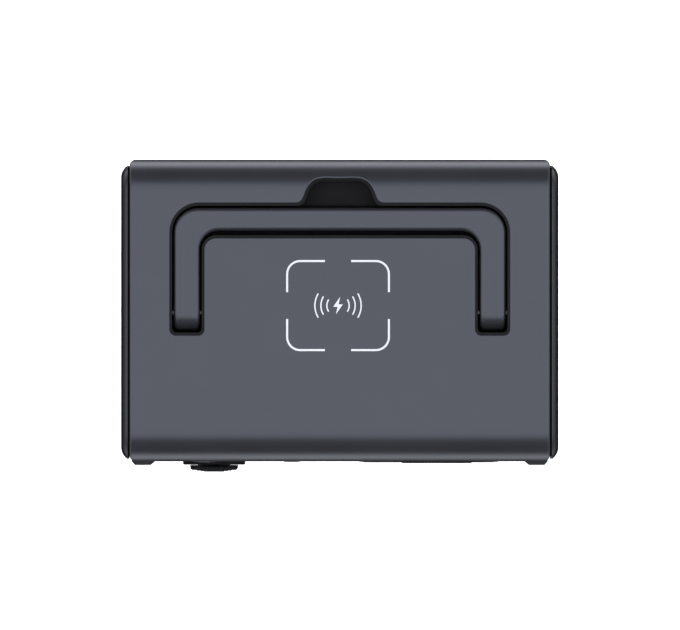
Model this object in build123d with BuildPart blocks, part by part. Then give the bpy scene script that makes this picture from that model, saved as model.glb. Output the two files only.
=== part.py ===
"""Portable power station, about 600 W and 270 Wh, built as an assembly of its separate pieces.

Millimetres. +X is the right-hand side seen from the front, +Y the back, +Z up. The origin is the middle
of the footprint, on the plane that the feet stand on. Each piece is written to parts/NAME.step.
"""
from build123d import *
from math import cos, radians, sin
import os

os.makedirs("parts", exist_ok=True)

# Case ------------------------------------------------------------------------------------------
OVERALL_WIDTH = 255.0  # over the side covers
FRONT_Y = -85.0  # flat face of the front, between the bumpers
BACK_Y = 91.0
FOOT_HEIGHT = 3.0
CASE_TOP = 183.0
EDGE_RADIUS = 20.0  # long rounded edges, front and back
BUMPER = 2.1  # how far the front corners' bumpers stand proud of the front face
BUMPER_STATIONS = ((107.7, 0.0), (110.2, BUMPER), (119.4, BUMPER), (121.3, 0.0))  # x and height there
BUMPER_RAMP = 14.0  # height over which the bumpers rise, at top and bottom
WALL = 3.0
SHELL_END = 122.5  # half length of the two shells
END_ROUND = 1.2  # rounding of the shells' end edges
CORNER_ROUND = 3.5  # upright corners, in plan
CAVITY_END = 116.0
LIP = 7.0  # end openings are inset this far from the case outline
SEAM_Z = 63.0  # where the two shells meet
SEAM_GROOVE = 0.5
CLEAR = 10.0  # how far a cutter reaches past what it cuts
PANEL_GAP = 0.3
FIT = 0.1  # between pieces that are fitted together

MID_Y = (FRONT_Y + BACK_Y) / 2
MID_Z = (FOOT_HEIGHT + CASE_TOP) / 2
CASE_HEIGHT = CASE_TOP - FOOT_HEIGHT
CAVITY_TOP = CASE_TOP - WALL
FLOOR_Z = FOOT_HEIGHT + WALL

# Folding handle and its channel, in plan -----------------------------------------------------------
LEG_X = 89.1
SLOT_WIDTH = 20.0
SLOT_BACK = MID_Y + 62.5
SLOT_FRONT = MID_Y - 14.2
SLOT_OUTER_RADIUS = 17.0
SLOT_INNER_RADIUS = 7.0
SLOT_END_RADIUS = 3.4
SLOT_EDGE = 0.8  # rounding of the case along the slot and the scoop
HANDLE_SIDE_GAP = 2.4  # between the legs and the case
HANDLE_BACK_GAP = 2.7
HANDLE_FRONT_GAP = 4.0
GRIP_THICK = 15.0
HANDLE_TOP = CASE_TOP - 0.5
HANDLE_ROUND = 2.6
BARREL_RADIUS = 10.5
PIVOT_Y = MID_Y - 1.2
PIVOT_Z = HANDLE_TOP - BARREL_RADIUS
PIN_RADIUS = 2.5
RUNNING = 0.05  # radial running clearance
TRAY_WALL = 1.2
TRAY_RIM_DROP = 0.8  # the tray's rim lies this far under the case surface
TRAY_FLOOR = PIVOT_Z - BARREL_RADIUS - 1.2
TRAY_FLANGE = 5.0
SCOOP_FLOOR = TRAY_FLOOR + 5.0
SCOOP_HALF = 25.9

# Charging pad's inlaid mark: corner brackets round a pictogram ---------------------------------------
MARK_CENTRE = (-1.0, MID_Y + 2.9)
MARK_SIZE = (60.5, 53.1)
MARK_LINE = 1.18
MARK_CORNER = 8.2
MARK_ARMS = (22.6, 18.7)  # how far the corners' arms reach along X and Y
MARK_DEPTH = 0.3
WAVE_RADII = (6.5, 10.0, 13.5)
WAVE_SPAN = 60.0
WAVE_LINE = 0.8

# Front panel: centres of what it carries, as (x, z) ----------------------------------------------------
PANEL_HALF = 99.0
PANEL_BOTTOM = 25.0
PANEL_TOP = 160.0
PANEL_RADIUS = 8.0
PANEL_FLANGE = 2.0  # the panel's flange behind the case, past the opening
PANEL_FACE = FRONT_Y + 0.6
PANEL_BACK = FRONT_Y + WALL + 1.6
CAR_SOCKET = (-73.2, 62.0)
DISPLAY = (-28.0, 136.0)
DISPLAY_SIZE = (64.0, 32.0)
DISPLAY_RADIUS = 3.0
LAMP = (56.5, 141.0)
LAMP_SIZE = (41.1, 18.0)
LAMP_PROUD = 0.9  # how far the lens stands proud of the case
BUTTONS = {
    "power_button": (-79.0, 136.0, 7.0),
    "dc_button": (-28.0, 106.0, 5.0),
    "ac_button": (51.5, 102.0, 6.0),
    "lamp_button": (88.0, 141.0, 4.5),
}
BUTTON_TRAVEL = 1.2
KEY_PROUD = 0.9  # how far the keys stand proud of the panel
KEY_GAP = 0.25
OUTLETS = {"ac_outlet_left": (30.0, 62.0), "ac_outlet_right": (73.0, 62.0)}
OUTLET_SIZE = 38.0
OUTLET_RADIUS = 4.0
OUTLET_BACK = PANEL_BACK + 14.0
BLADE_SPACING = 12.7
BLADE_SLOT = (2.2, 8.4)
EARTH_RADIUS = 2.7
USB_A = {"usb_a_port_upper": (-28.0, 87.0), "usb_a_port_lower": (-28.0, 73.0)}
USB_A_SIZE = (13.2, 5.8)
SHEET = 0.35  # wall of the data ports
USB_C = (-28.0, 60.0)
USB_C_SIZE = (9.2, 3.4)
DC_JACKS = {"dc_jack_left": (-38.0, 43.0), "dc_jack_right": (-18.0, 43.0)}
DC_JACK_RADIUS = 4.5
PORT_DEPTH = 14.0
BOARD_THICK = 1.6
CONTROL_BOARD_Y = -74.0
CONTROL_BOARD_X = (-92.0, 97.0)
CONTROL_BOARD_Z = (94.0, 153.0)
MODULE_BACK = CONTROL_BOARD_Y - 2.0  # back of the display module
SWITCH_SIZE = (6.0, 2.4)  # width and height of the tact switches
KEY_STEM = 2.0
KEY_FLANGE = 1.2
PORT_BOARD_Y = PANEL_FACE + PORT_DEPTH + 0.2

# Car socket and its cap -----------------------------------------------------------------------------
SOCKET_BORE = 10.45
SOCKET_MOUTH = (11.0, 2.8)  # radius and depth of the wider mouth that takes the cap's plug
SOCKET_CHAMBER = (9.0, 34.0)  # radius and starting depth of the contact's chamber
SOCKET_OUTER = 12.8
SOCKET_FLANGE = 18.15
SOCKET_FACE = FRONT_Y - 1.9
SOCKET_DEPTH = 40.0
CAP_RADIUS = 13.95
CAP_FRONT = FRONT_Y - 5.0
CAP_PLUG = 9.6
CAP_TAB_Y = FRONT_Y - 6.0
HINGE_Y = FRONT_Y - 3.9
HINGE_Z = CAR_SOCKET[1] + 17.4
HINGE_PIN = 0.8
HINGE_BARREL = 1.75
LUG_OFFSET = 6.0
LUG_HALF = 1.9
KNUCKLE_HALF = 3.9
CONTACT_TRAVEL = 2.8
CONTACT_HEAD = 4.6
CONTACT_STEM = 3.2

# Sides ------------------------------------------------------------------------------------------------
COVER_SEAM = 1.2
COVER_NECK = 4.8  # the neck in the seam is inset this far from the case outline
COVER_INSET = 1.93  # outline of the cover's full quarter round
COVER_ROUND = 8.6
COVER_WALL = 2.4
COVER_SETBACK = 0.5  # the plug stops this short of the shells' inner lip
COVER_FACE = OVERALL_WIDTH / 2
VENT_PITCH = 8.0
VENT_SIZE = (56.0, 3.4)
VENT_CENTRE = (MID_Y, 122.0)
VENT_COUNT = 8
AC_INLET = (-38.0, 52.0)
INLET_HALF = (14.0, 11.0)  # half width and height of its opening in the cover
DC_INPUT = (2.0, 52.0)
DC_INPUT_RADIUS = 6.0
RESET = (34.0, 52.0)
RESET_HOLE = 4.1
COVER_CUT = (-COVER_FACE - CLEAR, -118.0)  # the openings' cutters, along X
FAN_CENTRE = (100.0, MID_Y, 122.0)
FAN_SIZE = 60.0
FAN_DEPTH = 15.0
HUB_RADIUS = 11.5
AXLE_RADIUS = 1.5
BLADE_COUNT = 7
BLADE_ROOT = 10.5  # radius that the blades start at
BLADE_LENGTH = 16.5

# Battery: fourteen cells of 32 x 70 mm in three rows ------------------------------------------------
CELL_RADIUS = 16.0
CELL_LENGTH = 70.0
CELL_PITCH = 33.0
CELL_COLUMNS = 5
CELL_ROWS = 3
CELL_FRONT = 8.0
CELL_LOW_Z = 27.0
CELLS = [
    ((column - (CELL_COLUMNS - 1) / 2) * CELL_PITCH, CELL_LOW_Z + row * CELL_PITCH)
    for row in range(CELL_ROWS)
    for column in range(CELL_COLUMNS)
][:-1]
LINK_THICK = 0.4
HOLDER_THICK = 8.0
HOLDER_SIZE = (168.0, 102.0)
HOLDER_CENTRE_Z = CELL_LOW_Z + CELL_PITCH
HOLDER_TOP = HOLDER_CENTRE_Z + HOLDER_SIZE[1] / 2

# Electronics above the battery ------------------------------------------------------------------------
DECK_Z = 117.0
DECK_THICK = 1.5
DECK_X = 92.0
DECK_Y = (-20.0, 76.0)
COIL_CENTRE = (-1.0, MID_Y + 2.9)
COIL_OUTER = 24.0
COIL_INNER = 10.0


def save(piece, name):
    """Labels a finished piece and writes it as its own STEP file."""
    piece.part.label = name
    export_step(piece.part, f"parts/{name}.step")


def block(x, y, z, mode=Mode.ADD):
    """A box from three (low, high) ranges."""
    with Locations([tuple((low + high) / 2 for low, high in (x, y, z))]):
        Box(x[1] - x[0], y[1] - y[0], z[1] - z[0], mode=mode)


def front(y):
    """A plane facing forwards at that y; its own axes are X and Z."""
    return Plane.XZ.offset(-y)


def side(x):
    """A plane facing right at that x; its own axes are Y and Z."""
    return Plane.YZ.offset(x)


def rod(start, end, radius, mode=Mode.ADD):
    """A round bar between two points."""
    path = Vector(*end) - Vector(*start)
    with BuildSketch(Plane(origin=start, z_dir=path.normalized())) as section:
        Circle(radius)
    extrude(section.sketch, amount=path.length, dir=path.normalized(), mode=mode)


def case_outline(inset, front_y=FRONT_Y):
    """The case's side view, inset all round."""
    depth = BACK_Y - front_y - 2 * inset
    with Locations(((BACK_Y + front_y) / 2, MID_Z)):
        RectangleRounded(depth, CASE_HEIGHT - 2 * inset, EDGE_RADIUS - inset)


def plan_outline():
    """The case seen from above, a hair deeper at the front so that no faces coincide there."""
    depth = BACK_Y - FRONT_Y + 0.2 * FIT
    with Locations((0, BACK_Y - depth / 2)):
        RectangleRounded(2 * SHELL_END, depth, CORNER_ROUND)


def bumper_outline(proud):
    """A bumper's side view, that far proud of the front face, with long ramps up and down."""
    inside = FRONT_Y + WALL
    low, high = (FOOT_HEIGHT + BUMPER_RAMP, CASE_TOP - BUMPER_RAMP)
    with BuildLine() as outline:
        Polyline(
            (inside, low),
            (inside, high),
            (FRONT_Y + 1, high),
            (FRONT_Y - proud, high - BUMPER_RAMP),
            (FRONT_Y - proud, low + BUMPER_RAMP),
            (FRONT_Y + 1, low),
            close=True,
        )
    make_face(outline.edges())


def u_outline(outer, inner, low_y, radii):
    """A U open to the front: outer and inner are its (half width, back y); radii are outer, inner and end."""
    with BuildLine() as outline:
        Polyline(
            (-outer[0], low_y),
            (-outer[0], outer[1]),
            (outer[0], outer[1]),
            (outer[0], low_y),
            (inner[0], low_y),
            (inner[0], inner[1]),
            (-inner[0], inner[1]),
            (-inner[0], low_y),
            close=True,
        )
    make_face(outline.edges())
    for y, radius in zip((outer[1], inner[1], low_y), radii):
        if radius:
            fillet([v for v in vertices() if abs(v.Y - y) < 0.01], radius)


def channel_outline(inset):
    """The U of the handle's channel, inset from the slot in the top."""
    u_outline(
        (LEG_X + SLOT_WIDTH / 2 - inset, SLOT_BACK - inset),
        (LEG_X - SLOT_WIDTH / 2 + inset, SLOT_BACK - SLOT_WIDTH + inset),
        SLOT_FRONT + inset,
        (SLOT_OUTER_RADIUS - inset, SLOT_INNER_RADIUS + inset, SLOT_END_RADIUS - inset / 2),
    )


def panel_outline(inset):
    """The opening for the front panel, inset all round."""
    with Locations((0, (PANEL_BOTTOM + PANEL_TOP) / 2)):
        RectangleRounded(
            2 * (PANEL_HALF - inset),
            PANEL_TOP - PANEL_BOTTOM - 2 * inset,
            PANEL_RADIUS - inset,
        )


def scoop_outline(inset):
    """The finger scoop behind the grip: a bell that flares into the channel."""
    base = SLOT_BACK - inset
    flare = SCOOP_HALF - inset
    with BuildLine() as outline:
        left = Spline(
            (-flare, base),
            (-20.3 + inset, SLOT_BACK + 6.0 - inset / 2),
            (-16.6 + inset, SLOT_BACK + 12.0 - inset * 0.7),
            (0, SLOT_BACK + 14.3 - inset),
            tangents=((1, 0), (1, 0)),
        )
        mirror(left, about=Plane.YZ)
        Polyline((-flare, base), (-flare, base - 4), (flare, base - 4), (flare, base))
    make_face(outline.edges())


def mark_outline():
    """Four corner brackets, and between them a bolt with waves to its left and right."""
    width, height = MARK_SIZE
    with Locations(MARK_CENTRE):
        RectangleRounded(width, height, MARK_CORNER)
        RectangleRounded(
            width - 2 * MARK_LINE, height - 2 * MARK_LINE, MARK_CORNER - MARK_LINE, mode=Mode.SUBTRACT
        )
        Rectangle(width - 2 * MARK_ARMS[0], height + 2, mode=Mode.SUBTRACT)
        Rectangle(width + 2, height - 2 * MARK_ARMS[1], mode=Mode.SUBTRACT)
    x, y = MARK_CENTRE
    with BuildLine() as bolt:
        Polyline(
            (x + 1.2, y + 5), (x - 2.8, y - 0.7), (x - 0.3, y - 0.7),
            (x - 1.2, y - 5), (x + 2.8, y + 0.7), (x + 0.3, y + 0.7),
            close=True,
        )
    make_face(bolt.edges())
    for radius in WAVE_RADII:
        for start in (-WAVE_SPAN / 2, 180 - WAVE_SPAN / 2):
            with BuildLine() as wave:
                CenterArc(MARK_CENTRE, radius, start, WAVE_SPAN)
            SlotArc(wave.edges()[0], WAVE_LINE)


# Case shells ---------------------------------------------------------------------------------------
POSTS = [(x, MID_Y + y) for x in (-106, 106) for y in (-71, 71)]
POST_RADIUS = 5.0
SCREW_RADIUS = 1.6
SCREW_HEAD = (3.4, 3.0)  # radius and height
SCREW_SEAT = 18.0  # where the heads bear
SCREW_KEY = (1.8, 1.8)  # radius and depth of the hexagon
SCREW_TOP = SEAM_Z + 14
FEET = [(x, MID_Y + y) for x in (-96, 96) for y in (-52, 52)]
FOOT_RADIUS = 10.0
FOOT_SINK = 1.0
FOOT_STEM = 3.0
FOOT_KNOB = 0.6  # how far the stem reaches past the floor

with BuildPart() as case:
    with BuildSketch(side(-SHELL_END)):
        case_outline(0)
    extrude(amount=2 * SHELL_END)
    for end in (0, -1):
        end_face = case.faces().filter_by(Axis.X).sort_by(Axis.X)[end]
        fillet(end_face.outer_wire().edges(), END_ROUND)
    with BuildSketch(Plane.XY):
        plan_outline()
    extrude(amount=CASE_TOP + CLEAR, mode=Mode.INTERSECT)
    for sign in (-1, 1):
        for station, following in zip(BUMPER_STATIONS, BUMPER_STATIONS[1:]):
            for x, proud in (station, following):
                with BuildSketch(side(sign * x)):
                    bumper_outline(proud)
            loft()
    with BuildSketch(side(-CAVITY_END)):
        case_outline(WALL)
    extrude(amount=2 * CAVITY_END, mode=Mode.SUBTRACT)
    with BuildSketch(side(-SHELL_END - 1)):
        case_outline(LIP)
    extrude(amount=2 * SHELL_END + 2, mode=Mode.SUBTRACT)
    with BuildSketch(front(FRONT_Y - 1)):
        panel_outline(0)
    extrude(amount=-WALL - 2, mode=Mode.SUBTRACT)
    with BuildSketch(Plane.XY.offset(SEAM_Z - SEAM_GROOVE / 2)):
        plan_outline()
        offset(amount=-SEAM_GROOVE, kind=Kind.INTERSECTION, mode=Mode.SUBTRACT)
    extrude(amount=SEAM_GROOVE, mode=Mode.SUBTRACT)


def on_slot_rim(edge):
    """Whether a new edge of the top shell runs along the slot or the scoop, on the outside."""
    middle = edge.center()
    outside = middle.Z > CAVITY_TOP + 0.5
    upright = abs(edge.tangent_at(0.5).Z) > 0.9
    behind_slot = edge.geom_type == GeomType.LINE and middle.Y > SLOT_BACK + 1
    return outside and not upright and not behind_slot


with BuildPart() as top_shell:
    add(case.part)
    split(bisect_by=Plane.XY.offset(SEAM_Z), keep=Keep.TOP)
    before = top_shell.edges()
    with BuildSketch(Plane.XY.offset(CAVITY_TOP - CLEAR)):
        channel_outline(0)
        scoop_outline(0)
    extrude(amount=2 * CLEAR, mode=Mode.SUBTRACT)
    fillet([edge for edge in top_shell.edges() - before if on_slot_rim(edge)], SLOT_EDGE)
    with BuildSketch(Plane.XY.offset(CASE_TOP - MARK_DEPTH)):
        mark_outline()
    extrude(amount=MARK_DEPTH, mode=Mode.SUBTRACT)
    for x, y in POSTS:
        rod((x, y, SEAM_Z), (x, y, CAVITY_TOP), POST_RADIUS)
        rod((x, y, SEAM_Z), (x, y, SCREW_TOP), SCREW_RADIUS, Mode.SUBTRACT)
save(top_shell, "top_shell")

with BuildPart() as pad_mark:
    with BuildSketch(Plane.XY.offset(CASE_TOP - MARK_DEPTH)):
        mark_outline()
    extrude(amount=MARK_DEPTH)
save(pad_mark, "pad_mark")

with BuildPart() as bottom_shell:
    add(case.part)
    split(bisect_by=Plane.XY.offset(SEAM_Z), keep=Keep.BOTTOM)
    for x, y in POSTS:
        rod((x, y, FLOOR_Z - 1), (x, y, SEAM_Z), POST_RADIUS)
        rod((x, y, 0), (x, y, SEAM_Z), SCREW_RADIUS, Mode.SUBTRACT)
        rod((x, y, 0), (x, y, SCREW_SEAT), SCREW_HEAD[0] + PANEL_GAP, Mode.SUBTRACT)
    for x, y in FEET:
        rod((x, y, 0), (x, y, FOOT_HEIGHT + FOOT_SINK), FOOT_RADIUS + 2 * FIT, Mode.SUBTRACT)
        rod((x, y, 0), (x, y, FLOOR_Z), FOOT_STEM, Mode.SUBTRACT)
save(bottom_shell, "bottom_shell")

for number, (x, y) in enumerate(FEET, 1):
    with BuildPart() as foot:
        rod((x, y, 0), (x, y, FOOT_HEIGHT + FOOT_SINK), FOOT_RADIUS)
        fillet(foot.edges().group_by(Axis.Z)[0], 1)
        rod((x, y, FOOT_HEIGHT), (x, y, FLOOR_Z + FOOT_KNOB), FOOT_STEM)
    save(foot, f"foot_{number}")

with BuildPart() as case_screws:
    for x, y in POSTS:
        rod((x, y, SCREW_SEAT - SCREW_HEAD[1]), (x, y, SCREW_SEAT), SCREW_HEAD[0])
        rod((x, y, SCREW_SEAT), (x, y, SCREW_TOP), SCREW_RADIUS)
        with BuildSketch(Plane.XY.offset(SCREW_SEAT - SCREW_HEAD[1])):
            with Locations((x, y)):
                RegularPolygon(SCREW_KEY[0], 6)
        extrude(amount=SCREW_KEY[1], mode=Mode.SUBTRACT)
save(case_screws, "case_screws")


# Side covers ------------------------------------------------------------------------------------------
def cover_blank(sign):
    """The domed cover with its plug, hollow, with its vents; sign is the side it closes."""
    seam_x = SHELL_END + COVER_SEAM
    plug = LIP + FIT
    hollow = plug + COVER_WALL
    with BuildPart() as cover:
        with BuildSketch(side(sign * (COVER_FACE - COVER_ROUND))):
            case_outline(COVER_INSET, FRONT_Y - BUMPER)
        extrude(amount=sign * COVER_ROUND)
        rim = cover.faces().sort_by(Axis.X)[-1 if sign > 0 else 0]
        fillet(rim.edges(), COVER_ROUND - 0.01)
        block(
            sorted((0, sign * seam_x)),
            (FRONT_Y - CLEAR, BACK_Y + CLEAR),
            (-CLEAR, CASE_TOP + CLEAR),
            Mode.SUBTRACT,
        )
        with BuildSketch(side(sign * SHELL_END)):
            case_outline(COVER_NECK, FRONT_Y - BUMPER)
        extrude(amount=sign * COVER_SEAM)
        with BuildSketch(side(sign * (CAVITY_END + COVER_SETBACK))):
            case_outline(plug)
        extrude(amount=sign * (SHELL_END - CAVITY_END - COVER_SETBACK))
        with BuildSketch(side(sign * CAVITY_END)):
            case_outline(hollow)
        extrude(amount=sign * (COVER_FACE - COVER_WALL - CAVITY_END), mode=Mode.SUBTRACT)
        with BuildSketch(side(sign * (COVER_FACE + 1))):
            with Locations(VENT_CENTRE):
                with GridLocations(1, VENT_PITCH, 1, VENT_COUNT):
                    SlotOverall(*VENT_SIZE)
        extrude(amount=-sign * CLEAR, mode=Mode.SUBTRACT)
    return cover.part


with BuildPart() as left_cover:
    add(cover_blank(-1))
    y, z = AC_INLET
    half_y, half_z = INLET_HALF
    block(COVER_CUT, (y - half_y, y + half_y), (z - half_z, z + half_z), Mode.SUBTRACT)
    rod((COVER_CUT[0], *DC_INPUT), (COVER_CUT[1], *DC_INPUT), DC_INPUT_RADIUS + FIT, Mode.SUBTRACT)
    rod((COVER_CUT[0], *RESET), (COVER_CUT[1], *RESET), RESET_HOLE, Mode.SUBTRACT)
save(left_cover, "left_cover")

with BuildPart() as right_cover:
    add(cover_blank(1))
save(right_cover, "right_cover")

# Handle, its tray and pins ----------------------------------------------------------------------------
BOSS_RADIUS = 5.6
BOSS_LENGTH = 5.0
BOSS_OUTER = LEG_X + SLOT_WIDTH / 2 + BOSS_LENGTH
BOSS_INNER = LEG_X - SLOT_WIDTH / 2 - BOSS_LENGTH
PIN_START = BOSS_INNER + 1  # the inner boss is blind
PAD_X = (52.0, 64.0)  # rests that the grip lies on
PAD_Y = (SLOT_BACK - 12, SLOT_BACK - 6)
PAD_TOP = HANDLE_TOP - GRIP_THICK - PANEL_GAP

with BuildPart() as handle_tray:
    with BuildSketch(Plane.XY.offset(TRAY_FLOOR - TRAY_WALL)):
        channel_outline(FIT)
    extrude(amount=CASE_TOP - TRAY_RIM_DROP - TRAY_FLOOR + TRAY_WALL)
    with BuildSketch(Plane.XY.offset(SCOOP_FLOOR - TRAY_WALL)):
        scoop_outline(FIT)
    extrude(amount=CASE_TOP - SCOOP_FLOOR + TRAY_WALL)
    with BuildSketch(Plane.XY.offset(CAVITY_TOP - 2)):
        channel_outline(-TRAY_FLANGE)
    extrude(amount=2)
    with BuildSketch(side(-CAVITY_END)):
        case_outline(TRAY_RIM_DROP)
    extrude(amount=2 * CAVITY_END, mode=Mode.INTERSECT)
    for sign in (-1, 1):
        rod((sign * BOSS_INNER, PIVOT_Y, PIVOT_Z), (sign * BOSS_OUTER, PIVOT_Y, PIVOT_Z), BOSS_RADIUS)
    with BuildSketch(Plane.XY.offset(TRAY_FLOOR)):
        channel_outline(FIT + TRAY_WALL)
    extrude(amount=CASE_TOP - TRAY_FLOOR, mode=Mode.SUBTRACT)
    with BuildSketch(Plane.XY.offset(SCOOP_FLOOR)):
        scoop_outline(FIT + TRAY_WALL)
    extrude(amount=CASE_TOP - SCOOP_FLOOR, mode=Mode.SUBTRACT)
    for sign in (-1, 1):
        block(sorted(sign * x for x in PAD_X), PAD_Y, (TRAY_FLOOR, PAD_TOP))
        pin_ends = (sign * PIN_START, PIVOT_Y, PIVOT_Z), (sign * BOSS_OUTER, PIVOT_Y, PIVOT_Z)
        rod(*pin_ends, PIN_RADIUS, Mode.SUBTRACT)
save(handle_tray, "handle_tray")

with BuildPart() as handle:
    leg_half = SLOT_WIDTH / 2 - HANDLE_SIDE_GAP
    grip_back = SLOT_BACK - HANDLE_BACK_GAP
    grip_front = SLOT_BACK - SLOT_WIDTH + HANDLE_FRONT_GAP
    with BuildSketch(Plane.XY.offset(HANDLE_TOP - GRIP_THICK)):
        u_outline(
            (LEG_X + leg_half, grip_back),
            (LEG_X - leg_half, grip_front),
            PIVOT_Y,
            (SLOT_OUTER_RADIUS - HANDLE_BACK_GAP, SLOT_INNER_RADIUS + HANDLE_FRONT_GAP, 0),
        )
    extrude(amount=GRIP_THICK)
    flats = handle.faces().filter_by(Axis.Z)
    fillet(flats.edges().filter_by(lambda edge: edge.center().Y > PIVOT_Y + 1), HANDLE_ROUND)
    for x in (-LEG_X, LEG_X):
        with BuildSketch(Plane.XY.offset(PIVOT_Z)) as barrel:
            with Locations((x, PIVOT_Y + BARREL_RADIUS / 2)):
                Rectangle(2 * leg_half, BARREL_RADIUS)
            fillet(barrel.vertices().group_by(Axis.Y)[-1], HANDLE_ROUND)
        revolve(axis=Axis((0, PIVOT_Y, PIVOT_Z), (1, 0, 0)))
        hole_ends = (x - leg_half - 1, PIVOT_Y, PIVOT_Z), (x + leg_half + 1, PIVOT_Y, PIVOT_Z)
        rod(*hole_ends, PIN_RADIUS + RUNNING, Mode.SUBTRACT)
save(handle, "handle")

for name, sign in (("handle_pin_left", -1), ("handle_pin_right", 1)):
    with BuildPart() as handle_pin:
        rod((sign * PIN_START, PIVOT_Y, PIVOT_Z), (sign * BOSS_OUTER, PIVOT_Y, PIVOT_Z), PIN_RADIUS)
    save(handle_pin, name)

# Front panel -------------------------------------------------------------------------------------------
with BuildPart() as front_panel:
    with BuildSketch(front(PANEL_BACK)):
        panel_outline(-PANEL_FLANGE)
    extrude(amount=PANEL_BACK - FRONT_Y - WALL)
    with BuildSketch(front(FRONT_Y + WALL)):
        panel_outline(PANEL_GAP)
    extrude(amount=FRONT_Y + WALL - PANEL_FACE)
    with BuildSketch(front(PANEL_FACE - 1)):
        with Locations(CAR_SOCKET):
            Circle(SOCKET_OUTER + FIT)
        with Locations(DISPLAY):
            RectangleRounded(*DISPLAY_SIZE, DISPLAY_RADIUS)
        with Locations(LAMP):
            SlotOverall(*LAMP_SIZE)
        for x, z, radius in BUTTONS.values():
            with Locations((x, z)):
                Circle(radius)
        for place in OUTLETS.values():
            with Locations(place):
                RectangleRounded(OUTLET_SIZE, OUTLET_SIZE, OUTLET_RADIUS)
        for place in USB_A.values():
            with Locations(place):
                Rectangle(USB_A_SIZE[0] + 4 * FIT, USB_A_SIZE[1] + 4 * FIT)
        with Locations(USB_C):
            SlotOverall(USB_C_SIZE[0] + 4 * FIT, USB_C_SIZE[1] + 4 * FIT)
        for place in DC_JACKS.values():
            with Locations(place):
                Circle(DC_JACK_RADIUS + FIT)
    extrude(amount=-CLEAR, mode=Mode.SUBTRACT)
save(front_panel, "front_panel")

with BuildPart() as display_window:
    with BuildSketch(front(PANEL_BACK - 0.5)):
        with Locations(DISPLAY):
            RectangleRounded(DISPLAY_SIZE[0] - 2 * FIT, DISPLAY_SIZE[1] - 2 * FIT, DISPLAY_RADIUS - FIT)
    extrude(amount=PANEL_BACK - 0.5 - PANEL_FACE + 0.3)
    fillet(display_window.faces().sort_by(Axis.Y)[0].edges(), 0.5)
save(display_window, "display_window")

with BuildPart() as display_module:
    width, height = (size - 4 for size in DISPLAY_SIZE)
    x, z = DISPLAY
    block((x - width / 2, x + width / 2), (PANEL_BACK + 0.2, MODULE_BACK), (z - height / 2, z + height / 2))
save(display_module, "display_module")

with BuildPart() as control_board:
    back = CONTROL_BOARD_Y + BOARD_THICK
    block(CONTROL_BOARD_X, (CONTROL_BOARD_Y, back), CONTROL_BOARD_Z)
    half = SWITCH_SIZE[0] / 2
    for x, z, radius in BUTTONS.values():
        block((x - half, x + half), (CONTROL_BOARD_Y - SWITCH_SIZE[1], CONTROL_BOARD_Y), (z - half, z + half))
    x, z = DISPLAY
    block((x - 22, x + 22), (MODULE_BACK, CONTROL_BOARD_Y), (z - 2, z + 2))
    with Locations((x - 8, back + 1, z - 4), (x + 60, back + 1, z - 20)):
        Box(9, 2, 9)
save(control_board, "control_board")

for name, (x, z, radius) in BUTTONS.items():
    with BuildPart() as button:
        rod((x, PANEL_FACE - KEY_PROUD, z), (x, PANEL_BACK + FIT, z), radius - KEY_GAP)
        fillet(button.faces().sort_by(Axis.Y)[0].edges(), 0.6)
        rod((x, PANEL_BACK + FIT, z), (x, PANEL_BACK + FIT + KEY_FLANGE, z), radius + KEY_FLANGE)
        rod((x, PANEL_BACK, z), (x, CONTROL_BOARD_Y - SWITCH_SIZE[1] - BUTTON_TRAVEL - FIT, z), KEY_STEM)
    save(button, name)

with BuildPart() as lamp_lens:
    with BuildSketch(front(PANEL_BACK + 0.4)):
        with Locations(LAMP):
            SlotOverall(LAMP_SIZE[0] - 2 * FIT, LAMP_SIZE[1] - 2 * FIT)
    extrude(amount=PANEL_BACK + 0.4 - FRONT_Y + LAMP_PROUD)
    fillet(lamp_lens.faces().sort_by(Axis.Y)[0].edges(), 1.6)
save(lamp_lens, "lamp_lens")

with BuildPart() as lamp_board:
    x, z = LAMP
    block((x - 18, x + 18), (PANEL_BACK + 2, PANEL_BACK + 2 + BOARD_THICK), (z - 7, z + 7))
    with Locations((x, PANEL_BACK + 1.6, z)):
        with GridLocations(8, 7, 4, 1):
            Box(3.4, 0.8, 3.4)
save(lamp_board, "lamp_board")


# Outputs -----------------------------------------------------------------------------------------------
def outlet(name, x, z):
    """A grounded two-blade outlet."""
    with BuildPart() as part:
        with BuildSketch(front(OUTLET_BACK)):
            with Locations((x, z)):
                RectangleRounded(OUTLET_SIZE - 2 * FIT, OUTLET_SIZE - 2 * FIT, OUTLET_RADIUS - FIT)
        extrude(amount=OUTLET_BACK - PANEL_FACE + 0.8)
        fillet(part.faces().sort_by(Axis.Y)[0].edges(), 0.6)
        with BuildSketch(front(PANEL_FACE - 2)):
            with Locations((x - BLADE_SPACING / 2, z + 3), (x + BLADE_SPACING / 2, z + 3)):
                Rectangle(*BLADE_SLOT)
            with Locations((x, z - 8.5)):
                Circle(EARTH_RADIUS)
        extrude(amount=-PORT_DEPTH, mode=Mode.SUBTRACT)
    save(part, name)


def usb_a(name, x, z):
    """A USB-A port: a sheet-metal shell with its tongue."""
    y = PANEL_FACE - 0.2
    half_x, half_z = (size / 2 for size in USB_A_SIZE)
    in_x, in_z = half_x - SHEET, half_z - SHEET
    with BuildPart() as part:
        block((x - half_x, x + half_x), (y, y + PORT_DEPTH), (z - half_z, z + half_z))
        block((x - in_x, x + in_x), (y - 1, y + PORT_DEPTH - 1), (z - in_z, z + in_z), Mode.SUBTRACT)
        block((x - 5.6, x + 5.6), (y + 1, y + PORT_DEPTH - 0.5), (z, z + 1.9))
    save(part, name)


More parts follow.
